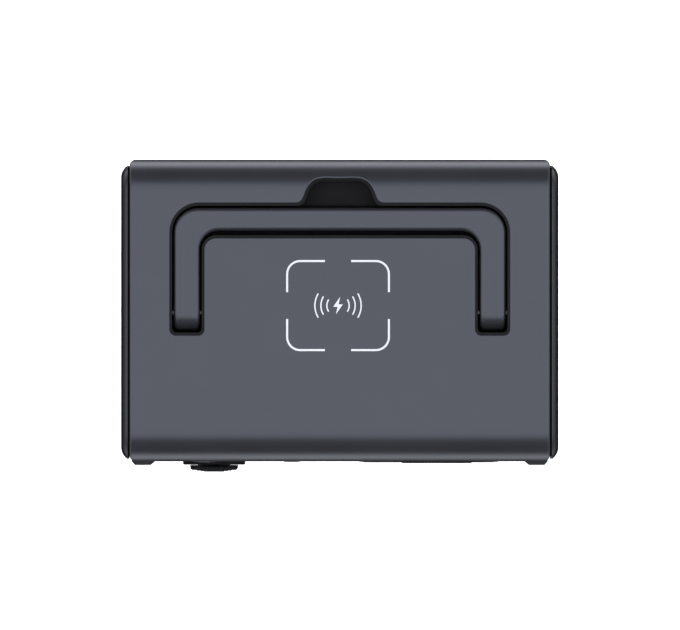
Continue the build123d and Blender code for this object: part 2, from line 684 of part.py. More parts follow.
def dc_jack(name, x, z):
    """A barrel jack with its centre pin."""
    y = PANEL_FACE - 0.4
    with BuildPart() as part:
        rod((x, y, z), (x, y + PORT_DEPTH, z), DC_JACK_RADIUS)
        rod((x, y - 1, z), (x, y + PORT_DEPTH - 2, z), 2.85, Mode.SUBTRACT)
        rod((x, y + 1.5, z), (x, y + PORT_DEPTH - 1, z), 1.0)
    save(part, name)


for name, place in OUTLETS.items():
    outlet(name, *place)
for name, place in USB_A.items():
    usb_a(name, *place)
for name, place in DC_JACKS.items():
    dc_jack(name, *place)

with BuildPart() as usb_c_port:
    x, z = USB_C
    y = PANEL_FACE - 0.2
    with BuildSketch(front(y + PORT_DEPTH)):
        with Locations(USB_C):
            SlotOverall(*USB_C_SIZE)
    extrude(amount=PORT_DEPTH)
    with BuildSketch(front(y - 1)):
        with Locations(USB_C):
            SlotOverall(USB_C_SIZE[0] - 2 * SHEET, USB_C_SIZE[1] - 2 * SHEET)
    extrude(amount=-PORT_DEPTH + 0.5, mode=Mode.SUBTRACT)
    block((x - 3.3, x + 3.3), (y + 1, y + PORT_DEPTH - 0.5), (z - 0.35, z + 0.35))
save(usb_c_port, "usb_c_port")

with BuildPart() as port_board:
    block((-46, -10), (PORT_BOARD_Y, PORT_BOARD_Y + BOARD_THICK), (36, 92))
    with Locations((-20, PORT_BOARD_Y + BOARD_THICK + 3, 78), (-20, PORT_BOARD_Y + BOARD_THICK + 3, 62)):
        Box(9, 6, 9)
save(port_board, "port_board")

with BuildPart() as car_socket:
    x, z = CAR_SOCKET
    rod((x, PANEL_FACE, z), (x, SOCKET_FACE, z), SOCKET_FLANGE)
    fillet(car_socket.faces().sort_by(Axis.Y)[0].edges(), 0.8)
    rod((x, PANEL_FACE, z), (x, SOCKET_FACE + SOCKET_DEPTH + 2, z), SOCKET_OUTER)
    for lug_x in (x - LUG_OFFSET, x + LUG_OFFSET):
        lug_ends = lug_x - LUG_HALF, lug_x + LUG_HALF
        rod((lug_ends[0], HINGE_Y, HINGE_Z), (lug_ends[1], HINGE_Y, HINGE_Z), HINGE_BARREL)
        block(lug_ends, (HINGE_Y, SOCKET_FACE + 0.5), (HINGE_Z - 1.6, HINGE_Z))
    rod((x, SOCKET_FACE - 1, z), (x, SOCKET_FACE + SOCKET_MOUTH[1], z), SOCKET_MOUTH[0], Mode.SUBTRACT)
    rod((x, SOCKET_FACE, z), (x, SOCKET_FACE + SOCKET_CHAMBER[1], z), SOCKET_BORE, Mode.SUBTRACT)
    rod((x, SOCKET_FACE, z), (x, SOCKET_FACE + SOCKET_DEPTH, z), SOCKET_CHAMBER[0], Mode.SUBTRACT)
    rod((x, SOCKET_FACE, z), (x, 0, z), CONTACT_STEM + FIT, Mode.SUBTRACT)
    rod((x - CLEAR, HINGE_Y, HINGE_Z), (x + CLEAR, HINGE_Y, HINGE_Z), HINGE_PIN, Mode.SUBTRACT)
save(car_socket, "car_socket")

with BuildPart() as socket_contact:
    x, z = CAR_SOCKET
    tip = SOCKET_FACE + SOCKET_DEPTH - CONTACT_TRAVEL - 2
    rod((x, tip, z), (x, tip + 2, z), CONTACT_HEAD)
    fillet(socket_contact.faces().sort_by(Axis.Y)[0].edges(), 1.2)
    rod((x, tip, z), (x, SOCKET_FACE + SOCKET_DEPTH + 6, z), CONTACT_STEM)
save(socket_contact, "socket_contact")

with BuildPart() as socket_cap:
    x, z = CAR_SOCKET
    rod((x, SOCKET_FACE - 0.1, z), (x, CAP_FRONT, z), CAP_RADIUS)
    fillet(socket_cap.faces().sort_by(Axis.Y)[0].edges(), 1.8)
    rod((x, SOCKET_FACE - 0.2, z), (x, SOCKET_FACE + 2.4, z), CAP_PLUG)
    rod((x, SOCKET_FACE + 0.6, z), (x, SOCKET_FACE + 3, z), CAP_PLUG - 1.4, Mode.SUBTRACT)
    block((x - 5.8, x + 5.8), (CAP_TAB_Y, SOCKET_FACE - 0.6), (z - 17.0, z - 11.0))
    knuckle = x - KNUCKLE_HALF, x + KNUCKLE_HALF
    block(knuckle, (HINGE_Y - 1.2, HINGE_Y + 0.8), (z + 12, HINGE_Z))
    rod((knuckle[0], HINGE_Y, HINGE_Z), (knuckle[1], HINGE_Y, HINGE_Z), HINGE_BARREL)
    rod((x - CLEAR, HINGE_Y, HINGE_Z), (x + CLEAR, HINGE_Y, HINGE_Z), HINGE_PIN + RUNNING, Mode.SUBTRACT)
save(socket_cap, "socket_cap")

with BuildPart() as cap_hinge_pin:
    x = CAR_SOCKET[0]
    reach = LUG_OFFSET + LUG_HALF
    rod((x - reach, HINGE_Y, HINGE_Z), (x + reach, HINGE_Y, HINGE_Z), HINGE_PIN)
save(cap_hinge_pin, "cap_hinge_pin")

# Inputs on the left, fan on the right -----------------------------------------------------------------
INLET_FACE = -126.9
INLET_BACK = -106.0
INLET_FLANGE = (-122.5, -119.5)
INLET_MOUTH = (24.6, 17.2, 4.5)  # width, height and corner cut
PIN_HALF = (1.0, 2.0)
INLET_PINS = [(AC_INLET[0] + y, AC_INLET[1] + z) for y, z in ((-7, 1), (0, 4), (7, 1))]


def pin_section(y, z):
    """A pin's ranges along Y and Z."""
    return (y - PIN_HALF[0], y + PIN_HALF[0]), (z - PIN_HALF[1], z + PIN_HALF[1])


with BuildPart() as ac_inlet:
    y, z = AC_INLET
    half_y, half_z = (half - FIT for half in INLET_HALF)
    block((INLET_FACE, INLET_BACK), (y - half_y, y + half_y), (z - half_z, z + half_z))
    fillet(ac_inlet.edges().filter_by(Axis.X), 2)
    block(INLET_FLANGE, (y - half_y - 4, y + half_y + 4), (z - half_z - 2, z + half_z + 2))
    with BuildSketch(side(INLET_FACE - 1)) as mouth:
        with Locations(AC_INLET):
            Rectangle(INLET_MOUTH[0], INLET_MOUTH[1])
        chamfer(mouth.vertices().group_by(Axis.Y)[0], INLET_MOUTH[2])
    extrude(amount=17.5, mode=Mode.SUBTRACT)
    for pin_y, pin_z in INLET_PINS:
        block((-115, -100), *pin_section(pin_y, pin_z), Mode.SUBTRACT)
save(ac_inlet, "ac_inlet")

with BuildPart() as inlet_pins:
    for pin_y, pin_z in INLET_PINS:
        block((INLET_FACE + 4, INLET_BACK + 8), *pin_section(pin_y, pin_z))
save(inlet_pins, "inlet_pins")

with BuildPart() as dc_input_jack:
    rod((INLET_FACE, *DC_INPUT), (-108, *DC_INPUT), DC_INPUT_RADIUS)
    rod((-121.5, *DC_INPUT), (-119, *DC_INPUT), 8)
    rod((INLET_FACE - 1, *DC_INPUT), (-113, *DC_INPUT), 4, Mode.SUBTRACT)
    rod((INLET_FACE + 2, *DC_INPUT), (-112, *DC_INPUT), 0.6)
save(dc_input_jack, "dc_input_jack")

with BuildPart() as breaker_body:
    rod((-119.5, *RESET), (-104, *RESET), 8)
    rod((-121.5, *RESET), (-119.5, *RESET), 6.5)
    rod((-123, *RESET), (-110, *RESET), 3.6, Mode.SUBTRACT)
save(breaker_body, "breaker_body")

with BuildPart() as reset_button:
    rod((INLET_FACE, *RESET), (-112, *RESET), 3.3)
    fillet(reset_button.faces().sort_by(Axis.X)[0].edges(), 0.6)
save(reset_button, "reset_button")

with BuildPart() as fan_frame:
    x, y, z = FAN_CENTRE
    half = FAN_SIZE / 2
    block((x, x + FAN_DEPTH), (y - half, y + half), (z - half, z + half))
    fillet(fan_frame.edges().filter_by(Axis.X), 4)
    rod((x - 1, y, z), (x + FAN_DEPTH + 1, y, z), half - 1.5, Mode.SUBTRACT)
    rod((x, y, z), (x + 2, y, z), HUB_RADIUS + 0.5)
    for angle in (45, 135, 225, 315):
        reach = half + 3
        tip = (x + 1, y + reach * cos(radians(angle)), z + reach * sin(radians(angle)))
        rod((x + 1, y, z), tip, 1)
    rod((x + 1, y, z), (x + 9, y, z), AXLE_RADIUS)
    for dy in (-25, 25):
        for dz in (-25, 25):
            rod((x - 1, y + dy, z + dz), (x + FAN_DEPTH + 1, y + dy, z + dz), 2, Mode.SUBTRACT)
save(fan_frame, "fan_frame")

with BuildPart() as fan_rotor:
    x, y, z = FAN_CENTRE
    rod((x + 2.6, y, z), (x + FAN_DEPTH - 1, y, z), HUB_RADIUS)
    fillet(fan_rotor.faces().sort_by(Axis.X)[-1].edges(), 1.5)
    for turn in range(BLADE_COUNT):
        angle = radians(turn * 360 / BLADE_COUNT)
        outwards = Vector(0, cos(angle), sin(angle))
        root = Plane(
            origin=Vector(x + FAN_DEPTH / 2 + 0.8, y, z) + outwards * BLADE_ROOT,
            x_dir=(1, 0, 0),
            z_dir=outwards,
        )
        with BuildSketch(root):
            Rectangle(13, 1.4, rotation=50)
        with BuildSketch(root.offset(BLADE_LENGTH)):
            Rectangle(13, 1.2, rotation=35)
        loft()
    rod((x, y, z), (x + 9.5, y, z), AXLE_RADIUS + RUNNING, Mode.SUBTRACT)
save(fan_rotor, "fan_rotor")

# Battery -----------------------------------------------------------------------------------------------
with BuildPart() as battery_cells:
    for x, z in CELLS:
        rod((x, CELL_FRONT, z), (x, CELL_FRONT + CELL_LENGTH, z), CELL_RADIUS)
save(battery_cells, "battery_cells")

for name, low_y in (
    ("cell_holder_front", CELL_FRONT + 2),
    ("cell_holder_rear", CELL_FRONT + CELL_LENGTH - HOLDER_THICK - 2),
):
    with BuildPart() as cell_holder:
        with BuildSketch(front(low_y)):
            with Locations((0, HOLDER_CENTRE_Z)):
                RectangleRounded(*HOLDER_SIZE, 8)
            for x, z in CELLS:
                with Locations((x, z)):
                    Circle(CELL_RADIUS + RUNNING, mode=Mode.SUBTRACT)
        extrude(amount=-HOLDER_THICK)
    save(cell_holder, name)

with BuildPart() as cell_links:
    for low_y, first in ((CELL_FRONT - LINK_THICK, 0), (CELL_FRONT + CELL_LENGTH, 1)):
        for row in range(CELL_ROWS):
            z = CELL_LOW_Z + row * CELL_PITCH
            for column in range(first, CELL_COLUMNS - 1, 2):
                x = (column - (CELL_COLUMNS - 1) / 2) * CELL_PITCH
                if (x + CELL_PITCH, z) in CELLS:
                    block((x - 8, x + CELL_PITCH + 8), (low_y, low_y + LINK_THICK), (z - 6, z + 6))
save(cell_links, "cell_links")

with BuildPart() as bms_board:
    block((-60, 60), (12, 74), (HOLDER_TOP, HOLDER_TOP + BOARD_THICK))
    with Locations((0, 43, HOLDER_TOP + BOARD_THICK + 0.6)):
        with GridLocations(14, 24, 7, 2):
            Box(7, 9, 1.2)
save(bms_board, "bms_board")

# Deck, inverter and charger -----------------------------------------------------------------------------
with BuildPart() as inner_frame:
    block((-DECK_X, DECK_X), DECK_Y, (DECK_Z, DECK_Z + DECK_THICK))
    for sign in (-1, 1):
        wall_x = sorted((sign * DECK_X, sign * (DECK_X - DECK_THICK)))
        block(wall_x, (DECK_Y[0] + 10, DECK_Y[1] - 16), (FLOOR_Z, DECK_Z + DECK_THICK))
        foot_x = sorted((sign * DECK_X, sign * (DECK_X - 7)))
        block(foot_x, (DECK_Y[0] + 10, DECK_Y[0] + 24), (FLOOR_Z, FLOOR_Z + DECK_THICK))
    with Locations((0, 28, DECK_Z + 1)):
        with GridLocations(56, 60, 3, 2):
            Cylinder(6, 6, mode=Mode.SUBTRACT)
save(inner_frame, "inner_frame")

BOARD_Z = DECK_Z + DECK_THICK + 3
PART_Z = BOARD_Z + BOARD_THICK
SINK_X = (20.0, 80.0)
CORE_X = (-36.0, 2.0)
CORE_Y = (30.0, 66.0)
CAPACITORS = ((-60, 58, 11, 30), (-60, 33, 11, 30), (-72, 8, 8, 25), (-52, 8, 8, 25))  # x, y, radius, height
CHARGE_BOARD_X = -98.0
PLATE_TOP = CAVITY_TOP - 2.4  # ferrite plate, under the coil
COIL_BOARD_Z = CAVITY_TOP - 9.0

with BuildPart() as inverter_board:
    block((-88, 88), (DECK_Y[0] + 2, DECK_Y[1] - 2), (BOARD_Z, PART_Z))
    with Locations((0, 28, BOARD_Z - 1.5)):
        with GridLocations(164, 84, 2, 2):
            Cylinder(3, 3)
save(inverter_board, "inverter_board")

with BuildPart() as inverter_heatsink:
    block(SINK_X, (34, 70), (PART_Z, PART_Z + 4))
    with Locations((sum(SINK_X) / 2, 52, PART_Z + 14)):
        with GridLocations(1, 5.4, 1, 7):
            Box(SINK_X[1] - SINK_X[0], 1.6, 22)
save(inverter_heatsink, "inverter_heatsink")

with BuildPart() as transformer:
    left, right = CORE_X
    block((left, right), CORE_Y, (PART_Z, PART_Z + 7))
    block((left, right), CORE_Y, (PART_Z + 23, PART_Z + 30))
    block((left, left + 6), CORE_Y, (PART_Z + 6, PART_Z + 24))
    block((right - 6, right), CORE_Y, (PART_Z + 6, PART_Z + 24))
    x, y = sum(CORE_X) / 2, sum(CORE_Y) / 2
    rod((x, y, PART_Z + 6), (x, y, PART_Z + 24), 12)
save(transformer, "transformer")

with BuildPart() as capacitors:
    for x, y, radius, height in CAPACITORS:
        rod((x, y, PART_Z), (x, y, PART_Z + height), radius)
    fillet(capacitors.faces().filter_by(Axis.Z).group_by(Axis.Z)[-1].edges(), 1)
save(capacitors, "capacitors")

with BuildPart() as charge_board:
    block((CHARGE_BOARD_X, CHARGE_BOARD_X + BOARD_THICK), (-40, 36), (28, 96))
    with Locations((CHARGE_BOARD_X - 7, -14, 82), (CHARGE_BOARD_X - 7, 14, 82)):
        Box(14, 18, 16)
save(charge_board, "charge_board")

with BuildPart() as ferrite_plate:
    x, y = COIL_CENTRE
    block((x - 26, x + 26), (y - 24, y + 24), (PLATE_TOP - 1, PLATE_TOP))
save(ferrite_plate, "ferrite_plate")

with BuildPart() as charging_coil:
    x, y = COIL_CENTRE
    rod((x, y, PLATE_TOP), (x, y, CAVITY_TOP - 0.2), COIL_OUTER)
    rod((x, y, CAVITY_TOP - 3), (x, y, CAVITY_TOP), COIL_INNER, Mode.SUBTRACT)
save(charging_coil, "charging_coil")

with BuildPart() as charging_board:
    block((-40, 40), (-24, 36), (COIL_BOARD_Z, COIL_BOARD_Z + BOARD_THICK))
    for x in (-35, 35):
        for y in (-19, 31):
            rod((x, y, COIL_BOARD_Z), (x, y, CAVITY_TOP), 2.5)
save(charging_board, "charging_board")

# Wires ---------------------------------------------------------------------------------------------------
with BuildPart() as battery_leads:
    for x in (53.5, 58.0):
        rod((x, 58, HOLDER_TOP + BOARD_THICK), (x, 58, BOARD_Z), 1.4)
save(battery_leads, "battery_leads")

with BuildPart() as outlet_leads:
    for x, z in OUTLETS.values():
        edge_y = DECK_Y[0] + 2
        edge_z = BOARD_Z + BOARD_THICK / 2
        with BuildLine() as route:
            FilletPolyline(
                (x, edge_y, edge_z),
                (x, -48, edge_z),
                (x, -48, z),
                (x, OUTLET_BACK, z),
                radius=12,
            )
        with BuildSketch(front(edge_y)):
            with Locations((x, edge_z)):
                Circle(1.5)
        sweep(path=route.line)
save(outlet_leads, "outlet_leads")

with BuildPart() as fan_lead:
    with BuildLine() as route:
        FilletPolyline((FAN_CENTRE[0], -10, PART_Z + 8), (84, -10, PART_Z + 8), (84, -10, PART_Z), radius=4)
    with BuildSketch(side(FAN_CENTRE[0])):
        with Locations((-10, PART_Z + 8)):
            Circle(1)
    sweep(path=route.line)
save(fan_lead, "fan_lead")
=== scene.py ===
"""Looks for the portable power station: materials, printed marks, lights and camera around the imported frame."""
from collections import namedtuple
import math

import bmesh
import bpy
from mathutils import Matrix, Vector


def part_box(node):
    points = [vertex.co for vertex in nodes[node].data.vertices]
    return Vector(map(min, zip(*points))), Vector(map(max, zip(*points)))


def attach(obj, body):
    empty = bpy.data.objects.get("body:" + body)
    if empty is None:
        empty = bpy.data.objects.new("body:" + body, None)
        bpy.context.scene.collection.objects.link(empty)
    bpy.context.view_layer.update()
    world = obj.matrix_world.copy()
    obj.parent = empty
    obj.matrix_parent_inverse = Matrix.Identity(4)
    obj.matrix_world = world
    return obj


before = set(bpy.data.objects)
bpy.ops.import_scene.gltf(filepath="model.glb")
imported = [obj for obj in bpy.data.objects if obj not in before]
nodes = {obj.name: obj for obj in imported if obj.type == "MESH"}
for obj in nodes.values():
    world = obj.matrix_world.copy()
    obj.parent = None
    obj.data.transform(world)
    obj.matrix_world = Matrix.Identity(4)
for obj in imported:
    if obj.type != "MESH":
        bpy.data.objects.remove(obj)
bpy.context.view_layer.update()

MM = 0.001


# Materials -------------------------------------------------------------------------------------
def new_material(name):
    """A material with an empty Principled shader; returns it with its tree and shader."""
    material = bpy.data.materials.new(name)
    material.use_nodes = True
    shader = material.node_tree.nodes["Principled BSDF"]
    return material, material.node_tree, shader


def object_noise(tree, scale, detail=2.0, roughness=0.5):
    """Noise in object space; scale is in features per metre."""
    place = tree.nodes.new("ShaderNodeTexCoord")
    noise = tree.nodes.new("ShaderNodeTexNoise")
    noise.inputs["Scale"].default_value = scale
    noise.inputs["Detail"].default_value = detail
    noise.inputs["Roughness"].default_value = roughness
    tree.links.new(place.outputs["Object"], noise.inputs["Vector"])
    return noise


def stretched(tree, texture, stretch):
    """Feeds a texture with object coordinates, scaled along each axis."""
    place = tree.nodes.new("ShaderNodeTexCoord")
    scaled = tree.nodes.new("ShaderNodeMapping")
    scaled.inputs["Scale"].default_value = stretch
    tree.links.new(place.outputs["Object"], scaled.inputs["Vector"])
    tree.links.new(scaled.outputs["Vector"], texture.inputs["Vector"])


def ramp(tree, source, low, high, start=0.3, end=0.7):
    """Maps a value to colours between low and high."""
    node = tree.nodes.new("ShaderNodeValToRGB")
    node.color_ramp.elements[0].position = start
    node.color_ramp.elements[0].color = (*low, 1)
    node.color_ramp.elements[1].position = end
    node.color_ramp.elements[1].color = (*high, 1)
    tree.links.new(source, node.inputs["Fac"])
    return node


def grey(value):
    """A colour with equal channels."""
    return (value, value, value)


def shade(color, factor):
    """A colour made lighter or darker by a factor."""
    return tuple(channel * factor for channel in color)


def bump(tree, shader, source, strength, depth):
    """Raises the surface by a texture; depth is in metres."""
    node = tree.nodes.new("ShaderNodeBump")
    node.inputs["Strength"].default_value = strength
    node.inputs["Distance"].default_value = depth
    tree.links.new(source, node.inputs["Height"])
    tree.links.new(node.outputs["Normal"], shader.inputs["Normal"])


def moulded(name, color, roughness, grain=0.35, spark=2600, spread=0.06, sheen=(0.5, (1, 1, 1))):
    """Moulded plastic: spark-eroded grain in the bump, faint mottling in colour and roughness."""
    material, tree, shader = new_material(name)
    shader.inputs["Specular IOR Level"].default_value = sheen[0]
    shader.inputs["Specular Tint"].default_value = (*sheen[1], 1)
    mottling = object_noise(tree, 35, 3)
    tint = ramp(tree, mottling.outputs["Fac"], shade(color, 1 - spread), shade(color, 1 + spread))
    tree.links.new(tint.outputs["Color"], shader.inputs["Base Color"])
    gloss = ramp(tree, mottling.outputs["Fac"], grey(roughness * 0.96), grey(roughness * 1.04))
    tree.links.new(gloss.outputs["Color"], shader.inputs["Roughness"])
    fine = object_noise(tree, spark, 3, 0.6)
    bump(tree, shader, fine.outputs["Fac"], grain, 0.00006)
    return material


def metal(name, color, roughness, stretch=(1, 1, 14)):
    """Brushed or plated metal, its brushing stretched along one axis."""
    material, tree, shader = new_material(name)
    shader.inputs["Metallic"].default_value = 1.0
    noise = tree.nodes.new("ShaderNodeTexNoise")
    noise.inputs["Scale"].default_value = 900
    stretched(tree, noise, stretch)
    tint = ramp(tree, noise.outputs["Fac"], shade(color, 0.9), color)
    tree.links.new(tint.outputs["Color"], shader.inputs["Base Color"])
    gloss = ramp(tree, noise.outputs["Fac"], grey(roughness * 0.8), grey(roughness * 1.25))
    tree.links.new(gloss.outputs["Color"], shader.inputs["Roughness"])
    return material


def banded(name, color, other, roughness, pitch, stretch, depth=0.0001, metallic=0.0):
    """A surface with fine regular bands, as on a winding, a ribbed lens or a ribbed sheet; pitch in metres."""
    material, tree, shader = new_material(name)
    shader.inputs["Metallic"].default_value = metallic
    wave = tree.nodes.new("ShaderNodeTexWave")
    wave.inputs["Scale"].default_value = 1 / (20 * pitch)
    wave.inputs["Distortion"].default_value = 0.3
    stretched(tree, wave, stretch)
    tint = ramp(tree, wave.outputs["Fac"], color, other, 0.1, 0.9)
    tree.links.new(tint.outputs["Color"], shader.inputs["Base Color"])
    gloss = ramp(tree, object_noise(tree, 120).outputs["Fac"], grey(roughness * 0.85), grey(roughness * 1.15))
    tree.links.new(gloss.outputs["Color"], shader.inputs["Roughness"])
    bump(tree, shader, wave.outputs["Fac"], 0.5, depth)
    return material


def clear_plastic(name, color, roughness, passing):
    """Acrylic that light passes through; passing is the share that does."""
    material, tree, shader = new_material(name)
    shader.inputs["IOR"].default_value = 1.49
    shader.inputs["Transmission Weight"].default_value = passing
    haze = object_noise(tree, 60, 3)
    tint = ramp(tree, haze.outputs["Fac"], shade(color, 0.97), color)
    tree.links.new(tint.outputs["Color"], shader.inputs["Base Color"])
    gloss = ramp(tree, haze.outputs["Fac"], grey(roughness * 0.9), grey(roughness * 1.1))
    tree.links.new(gloss.outputs["Color"], shader.inputs["Roughness"])
    return material


def frosted(name, color):
    """The lamp's diffuser: milky acrylic with fine upright prisms."""
    material, tree, shader = new_material(name)
    shader.inputs["Transmission Weight"].default_value = 0.35
    shader.inputs["Subsurface Weight"].default_value = 0.3
    shader.inputs["Subsurface Radius"].default_value = (0.004, 0.004, 0.0035)
    prisms = tree.nodes.new("ShaderNodeTexWave")
    prisms.inputs["Scale"].default_value = 50
    stretched(tree, prisms, (1, 1, 0))
    tint = ramp(tree, prisms.outputs["Fac"], shade(color, 0.93), color)
    tree.links.new(tint.outputs["Color"], shader.inputs["Base Color"])
    gloss = ramp(tree, prisms.outputs["Fac"], grey(0.32), grey(0.42))
    tree.links.new(gloss.outputs["Color"], shader.inputs["Roughness"])
    bump(tree, shader, prisms.outputs["Fac"], 0.6, 0.0002)
    return material


def circuit_board(name):
    """Green solder mask with darker copper pours and fine traces under it."""
    material, tree, shader = new_material(name)
    cells = tree.nodes.new("ShaderNodeTexBrick")
    cells.inputs["Scale"].default_value = 160
    cells.inputs["Mortar Size"].default_value = 0.06
    cells.inputs["Color1"].default_value = (0.006, 0.075, 0.030, 1)
    cells.inputs["Color2"].default_value = (0.004, 0.050, 0.022, 1)
    cells.inputs["Mortar"].default_value = (0.020, 0.140, 0.050, 1)
    stretched(tree, cells, (1, 1, 1))
    tree.links.new(cells.outputs["Color"], shader.inputs["Base Color"])
    gloss = ramp(tree, object_noise(tree, 300).outputs["Fac"], grey(0.22), grey(0.38))
    tree.links.new(gloss.outputs["Color"], shader.inputs["Roughness"])
    bump(tree, shader, cells.outputs["Fac"], 0.3, 0.00005)
    return material


def glowing(name, color, strength):
    """A lit mark on the display, slightly uneven as such marks are."""
    material, tree, shader = new_material(name)
    cells = object_noise(tree, 900, 1)
    tint = ramp(tree, cells.outputs["Fac"], shade(color, 0.85), color)
    tree.links.new(tint.outputs["Color"], shader.inputs["Base Color"])
    tree.links.new(tint.outputs["Color"], shader.inputs["Emission Color"])
    shader.inputs["Emission Strength"].default_value = strength
    return material


def apply(material, *names):
    """Gives a material to CAD nodes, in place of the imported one."""
    for name in names:
        mesh = nodes[name].data
        mesh.materials.clear()
        mesh.materials.append(material)


case_grey = moulded("case_grey_moulded", (0.0205, 0.0212, 0.0246), 0.31, sheen=(0.56, (0.83, 0.88, 1.0)))
cover_black = moulded("cover_black_moulded", (0.006, 0.006, 0.007), 0.28, sheen=(0.5, (0.88, 0.92, 1.0)))
# Near-black and almost without reflection: painted shade in the cover seams, and the intake filter's foam
filter_foam_and_seam_shade = moulded("filter_foam_and_seam_shade", (0.004, 0.004, 0.004), 0.9, 0.7, 1800, sheen=(0.03, (1, 1, 1)))
black_plastic = moulded("black_plastic_moulded", (0.006, 0.006, 0.0065), 0.6, sheen=(0.12, (1, 1, 1)))
panel_black = moulded("panel_black_moulded", (0.010, 0.010, 0.011), 0.38, sheen=(0.3, (1, 1, 1)))
outlet_black = moulded("outlet_black_moulded", (0.013, 0.013, 0.014), 0.5, spark=1800, sheen=(0.3, (1, 1, 1)))
bezel_black = moulded("bezel_black_gloss", (0.008, 0.008, 0.009), 0.14, grain=0.05, sheen=(0.4, (1, 1, 1)))
rubber = moulded("rubber_moulded", (0.014, 0.014, 0.014), 0.75, 0.6, 1500)
white_plastic = moulded("white_moulded", (0.72, 0.72, 0.70), 0.5)
white_print = moulded("white_print", (0.62, 0.63, 0.64), 0.55, grain=0.15)
red_plastic = moulded("red_moulded", (0.30, 0.020, 0.012), 0.4)
orange_plastic = moulded("orange_sleeve", (0.72, 0.17, 0.02), 0.42, grain=0.1)
cell_sleeve = moulded("cell_sleeve_film", (0.012, 0.075, 0.26), 0.22, grain=0.08, spark=700, spread=0.12)
ferrite = moulded("ferrite_sintered", (0.028, 0.027, 0.027), 0.8, grain=0.7, spark=4200)
dark_steel = metal("steel_blackened", (0.10, 0.10, 0.105), 0.4, (14, 1, 1))
nickel = metal("nickel_plated", (0.66, 0.63, 0.58), 0.25)
brass = metal("brass_plain", (0.78, 0.58, 0.28), 0.3)
gold = metal("gold_flash", (0.95, 0.68, 0.30), 0.22)
aluminium = metal("aluminium_extruded", (0.72, 0.73, 0.75), 0.35, (14, 1, 1))
copper = banded("copper_winding", (0.80, 0.36, 0.16), (0.42, 0.15, 0.06), 0.3, 0.0012, (1, 1, 0),
                metallic=1.0)
sheet_steel = banded("sheet_steel_brushed", (0.50, 0.51, 0.52), (0.44, 0.45, 0.46), 0.4, 0.0009, (0, 1, 1),
                     0.00002, 1.0)
capacitor_film = banded("capacitor_sleeve", (0.010, 0.010, 0.016), (0.016, 0.016, 0.024), 0.28, 0.004, (0, 0, 1),
                        0.00002)
smoked = clear_plastic("display_smoked_acrylic", (0.30, 0.31, 0.33), 0.03, 1.0)
diffuser = frosted("lamp_diffuser", (0.86, 0.86, 0.83))
board = circuit_board("circuit_board_green")
screen_lit = glowing("display_lit", (0.55, 0.85, 1.0), 5.0)
screen_green = glowing("display_charge", (0.25, 1.0, 0.45), 4.0)
screen_dim = moulded("display_unlit", (0.035, 0.04, 0.045), 0.5, grain=0.05)
phosphor = glowing("led_phosphor", (0.75, 0.62, 0.12), 0.15)

KEYS = {"power_button": "power_key", "dc_button": "dc_key", "ac_button": "ac_key", "lamp_button": "lamp_key"}
OUTLETS = ("ac_outlet_left", "ac_outlet_right")
USB_A = ("usb_a_port_upper", "usb_a_port_lower")
DC_JACKS = ("dc_jack_left", "dc_jack_right")

apply(case_grey, "top_shell", "bottom_shell", "handle", *KEYS)
apply(cover_black, "left_cover", "right_cover")
apply(black_plastic, "handle_tray", "socket_cap", "car_socket", "fan_frame", "fan_rotor", "ac_inlet",
      "dc_input_jack", "breaker_body", *DC_JACKS, "display_module")
apply(red_plastic, "reset_button")
apply(panel_black, "front_panel")
apply(outlet_black, *OUTLETS)
apply(white_print, "pad_mark")
apply(rubber, "foot_1", "foot_2", "foot_3", "foot_4")
apply(dark_steel, "handle_pin_left", "handle_pin_right", "cap_hinge_pin", "case_screws")
apply(sheet_steel, "inner_frame")
apply(nickel, *USB_A, "usb_c_port", "inlet_pins", "cell_links")
apply(brass, "socket_contact")
apply(smoked, "display_window")
apply(diffuser, "lamp_lens")
apply(board, "control_board", "port_board", "lamp_board", "bms_board", "inverter_board", "charge_board",
      "charging_board")
apply(aluminium, "inverter_heatsink")
apply(ferrite, "transformer", "ferrite_plate")
apply(capacitor_film, "capacitors")
apply(copper, "charging_coil")
apply(cell_sleeve, "battery_cells")
apply(white_plastic, "cell_holder_front", "cell_holder_rear")
apply(orange_plastic, "battery_leads")
apply(black_plastic, "outlet_leads", "fan_lead")


# Shapes on a face ------------------------------------------------------------------------------
Face = namedtuple("Face", "origin across up out")  # origin in metres, the others unit vectors
AXES = {
    "front": (Vector((1, 0, 0)), Vector((0, 0, 1)), Vector((0, -1, 0))),
    "left": (Vector((0, -1, 0)), Vector((0, 0, 1)), Vector((-1, 0, 0))),
    "right": (Vector((0, 1, 0)), Vector((0, 0, 1)), Vector((1, 0, 0))),
    "under": (Vector((1, 0, 0)), Vector((0, 1, 0)), Vector((0, 0, -1))),
}


def face_of(node, looking):
    """The face of a node's box that looks that way, centred on the box."""
    low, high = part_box(node)
    across, up, out = AXES[looking]
    middle = (low + high) / 2
    reach = sum(abs(axis) * size for axis, size in zip(out, (high - low) / 2))
    return Face(middle + out * reach, across, up, out)


def moved(face, across=0.0, up=0.0, out=0.0):
    """The face shifted by millimetres."""
    shift = face.across * across + face.up * up + face.out * out
    return face._replace(origin=face.origin + shift * MM)


def corner(shape, face, u, v, height):
    """A new vertex at u and v along a face and height off it, in millimetres."""
    return shape.verts.new(moved(face, u, v, height).origin)


def join_rings(shape, rings, around=False):
    """Quads between rings of vertices one after another; around also joins the last to the first."""
    pairs = list(zip(rings, rings[1:]))
    if around:
        pairs.append((rings[-1], rings[0]))
    for first, second in pairs:
        for index in range(len(first)):
            after = (index + 1) % len(first)
            shape.faces.new((first[index], first[after], second[after], second[index]))


def prism(shape, outline, face, low, high):
    """A solid with a flat outline, from one height to another above a face."""
    rings = [[corner(shape, face, u, v, height) for u, v in outline] for height in (low, high)]
    shape.faces.new(rings[0])
    shape.faces.new(rings[1])
    join_rings(shape, rings)


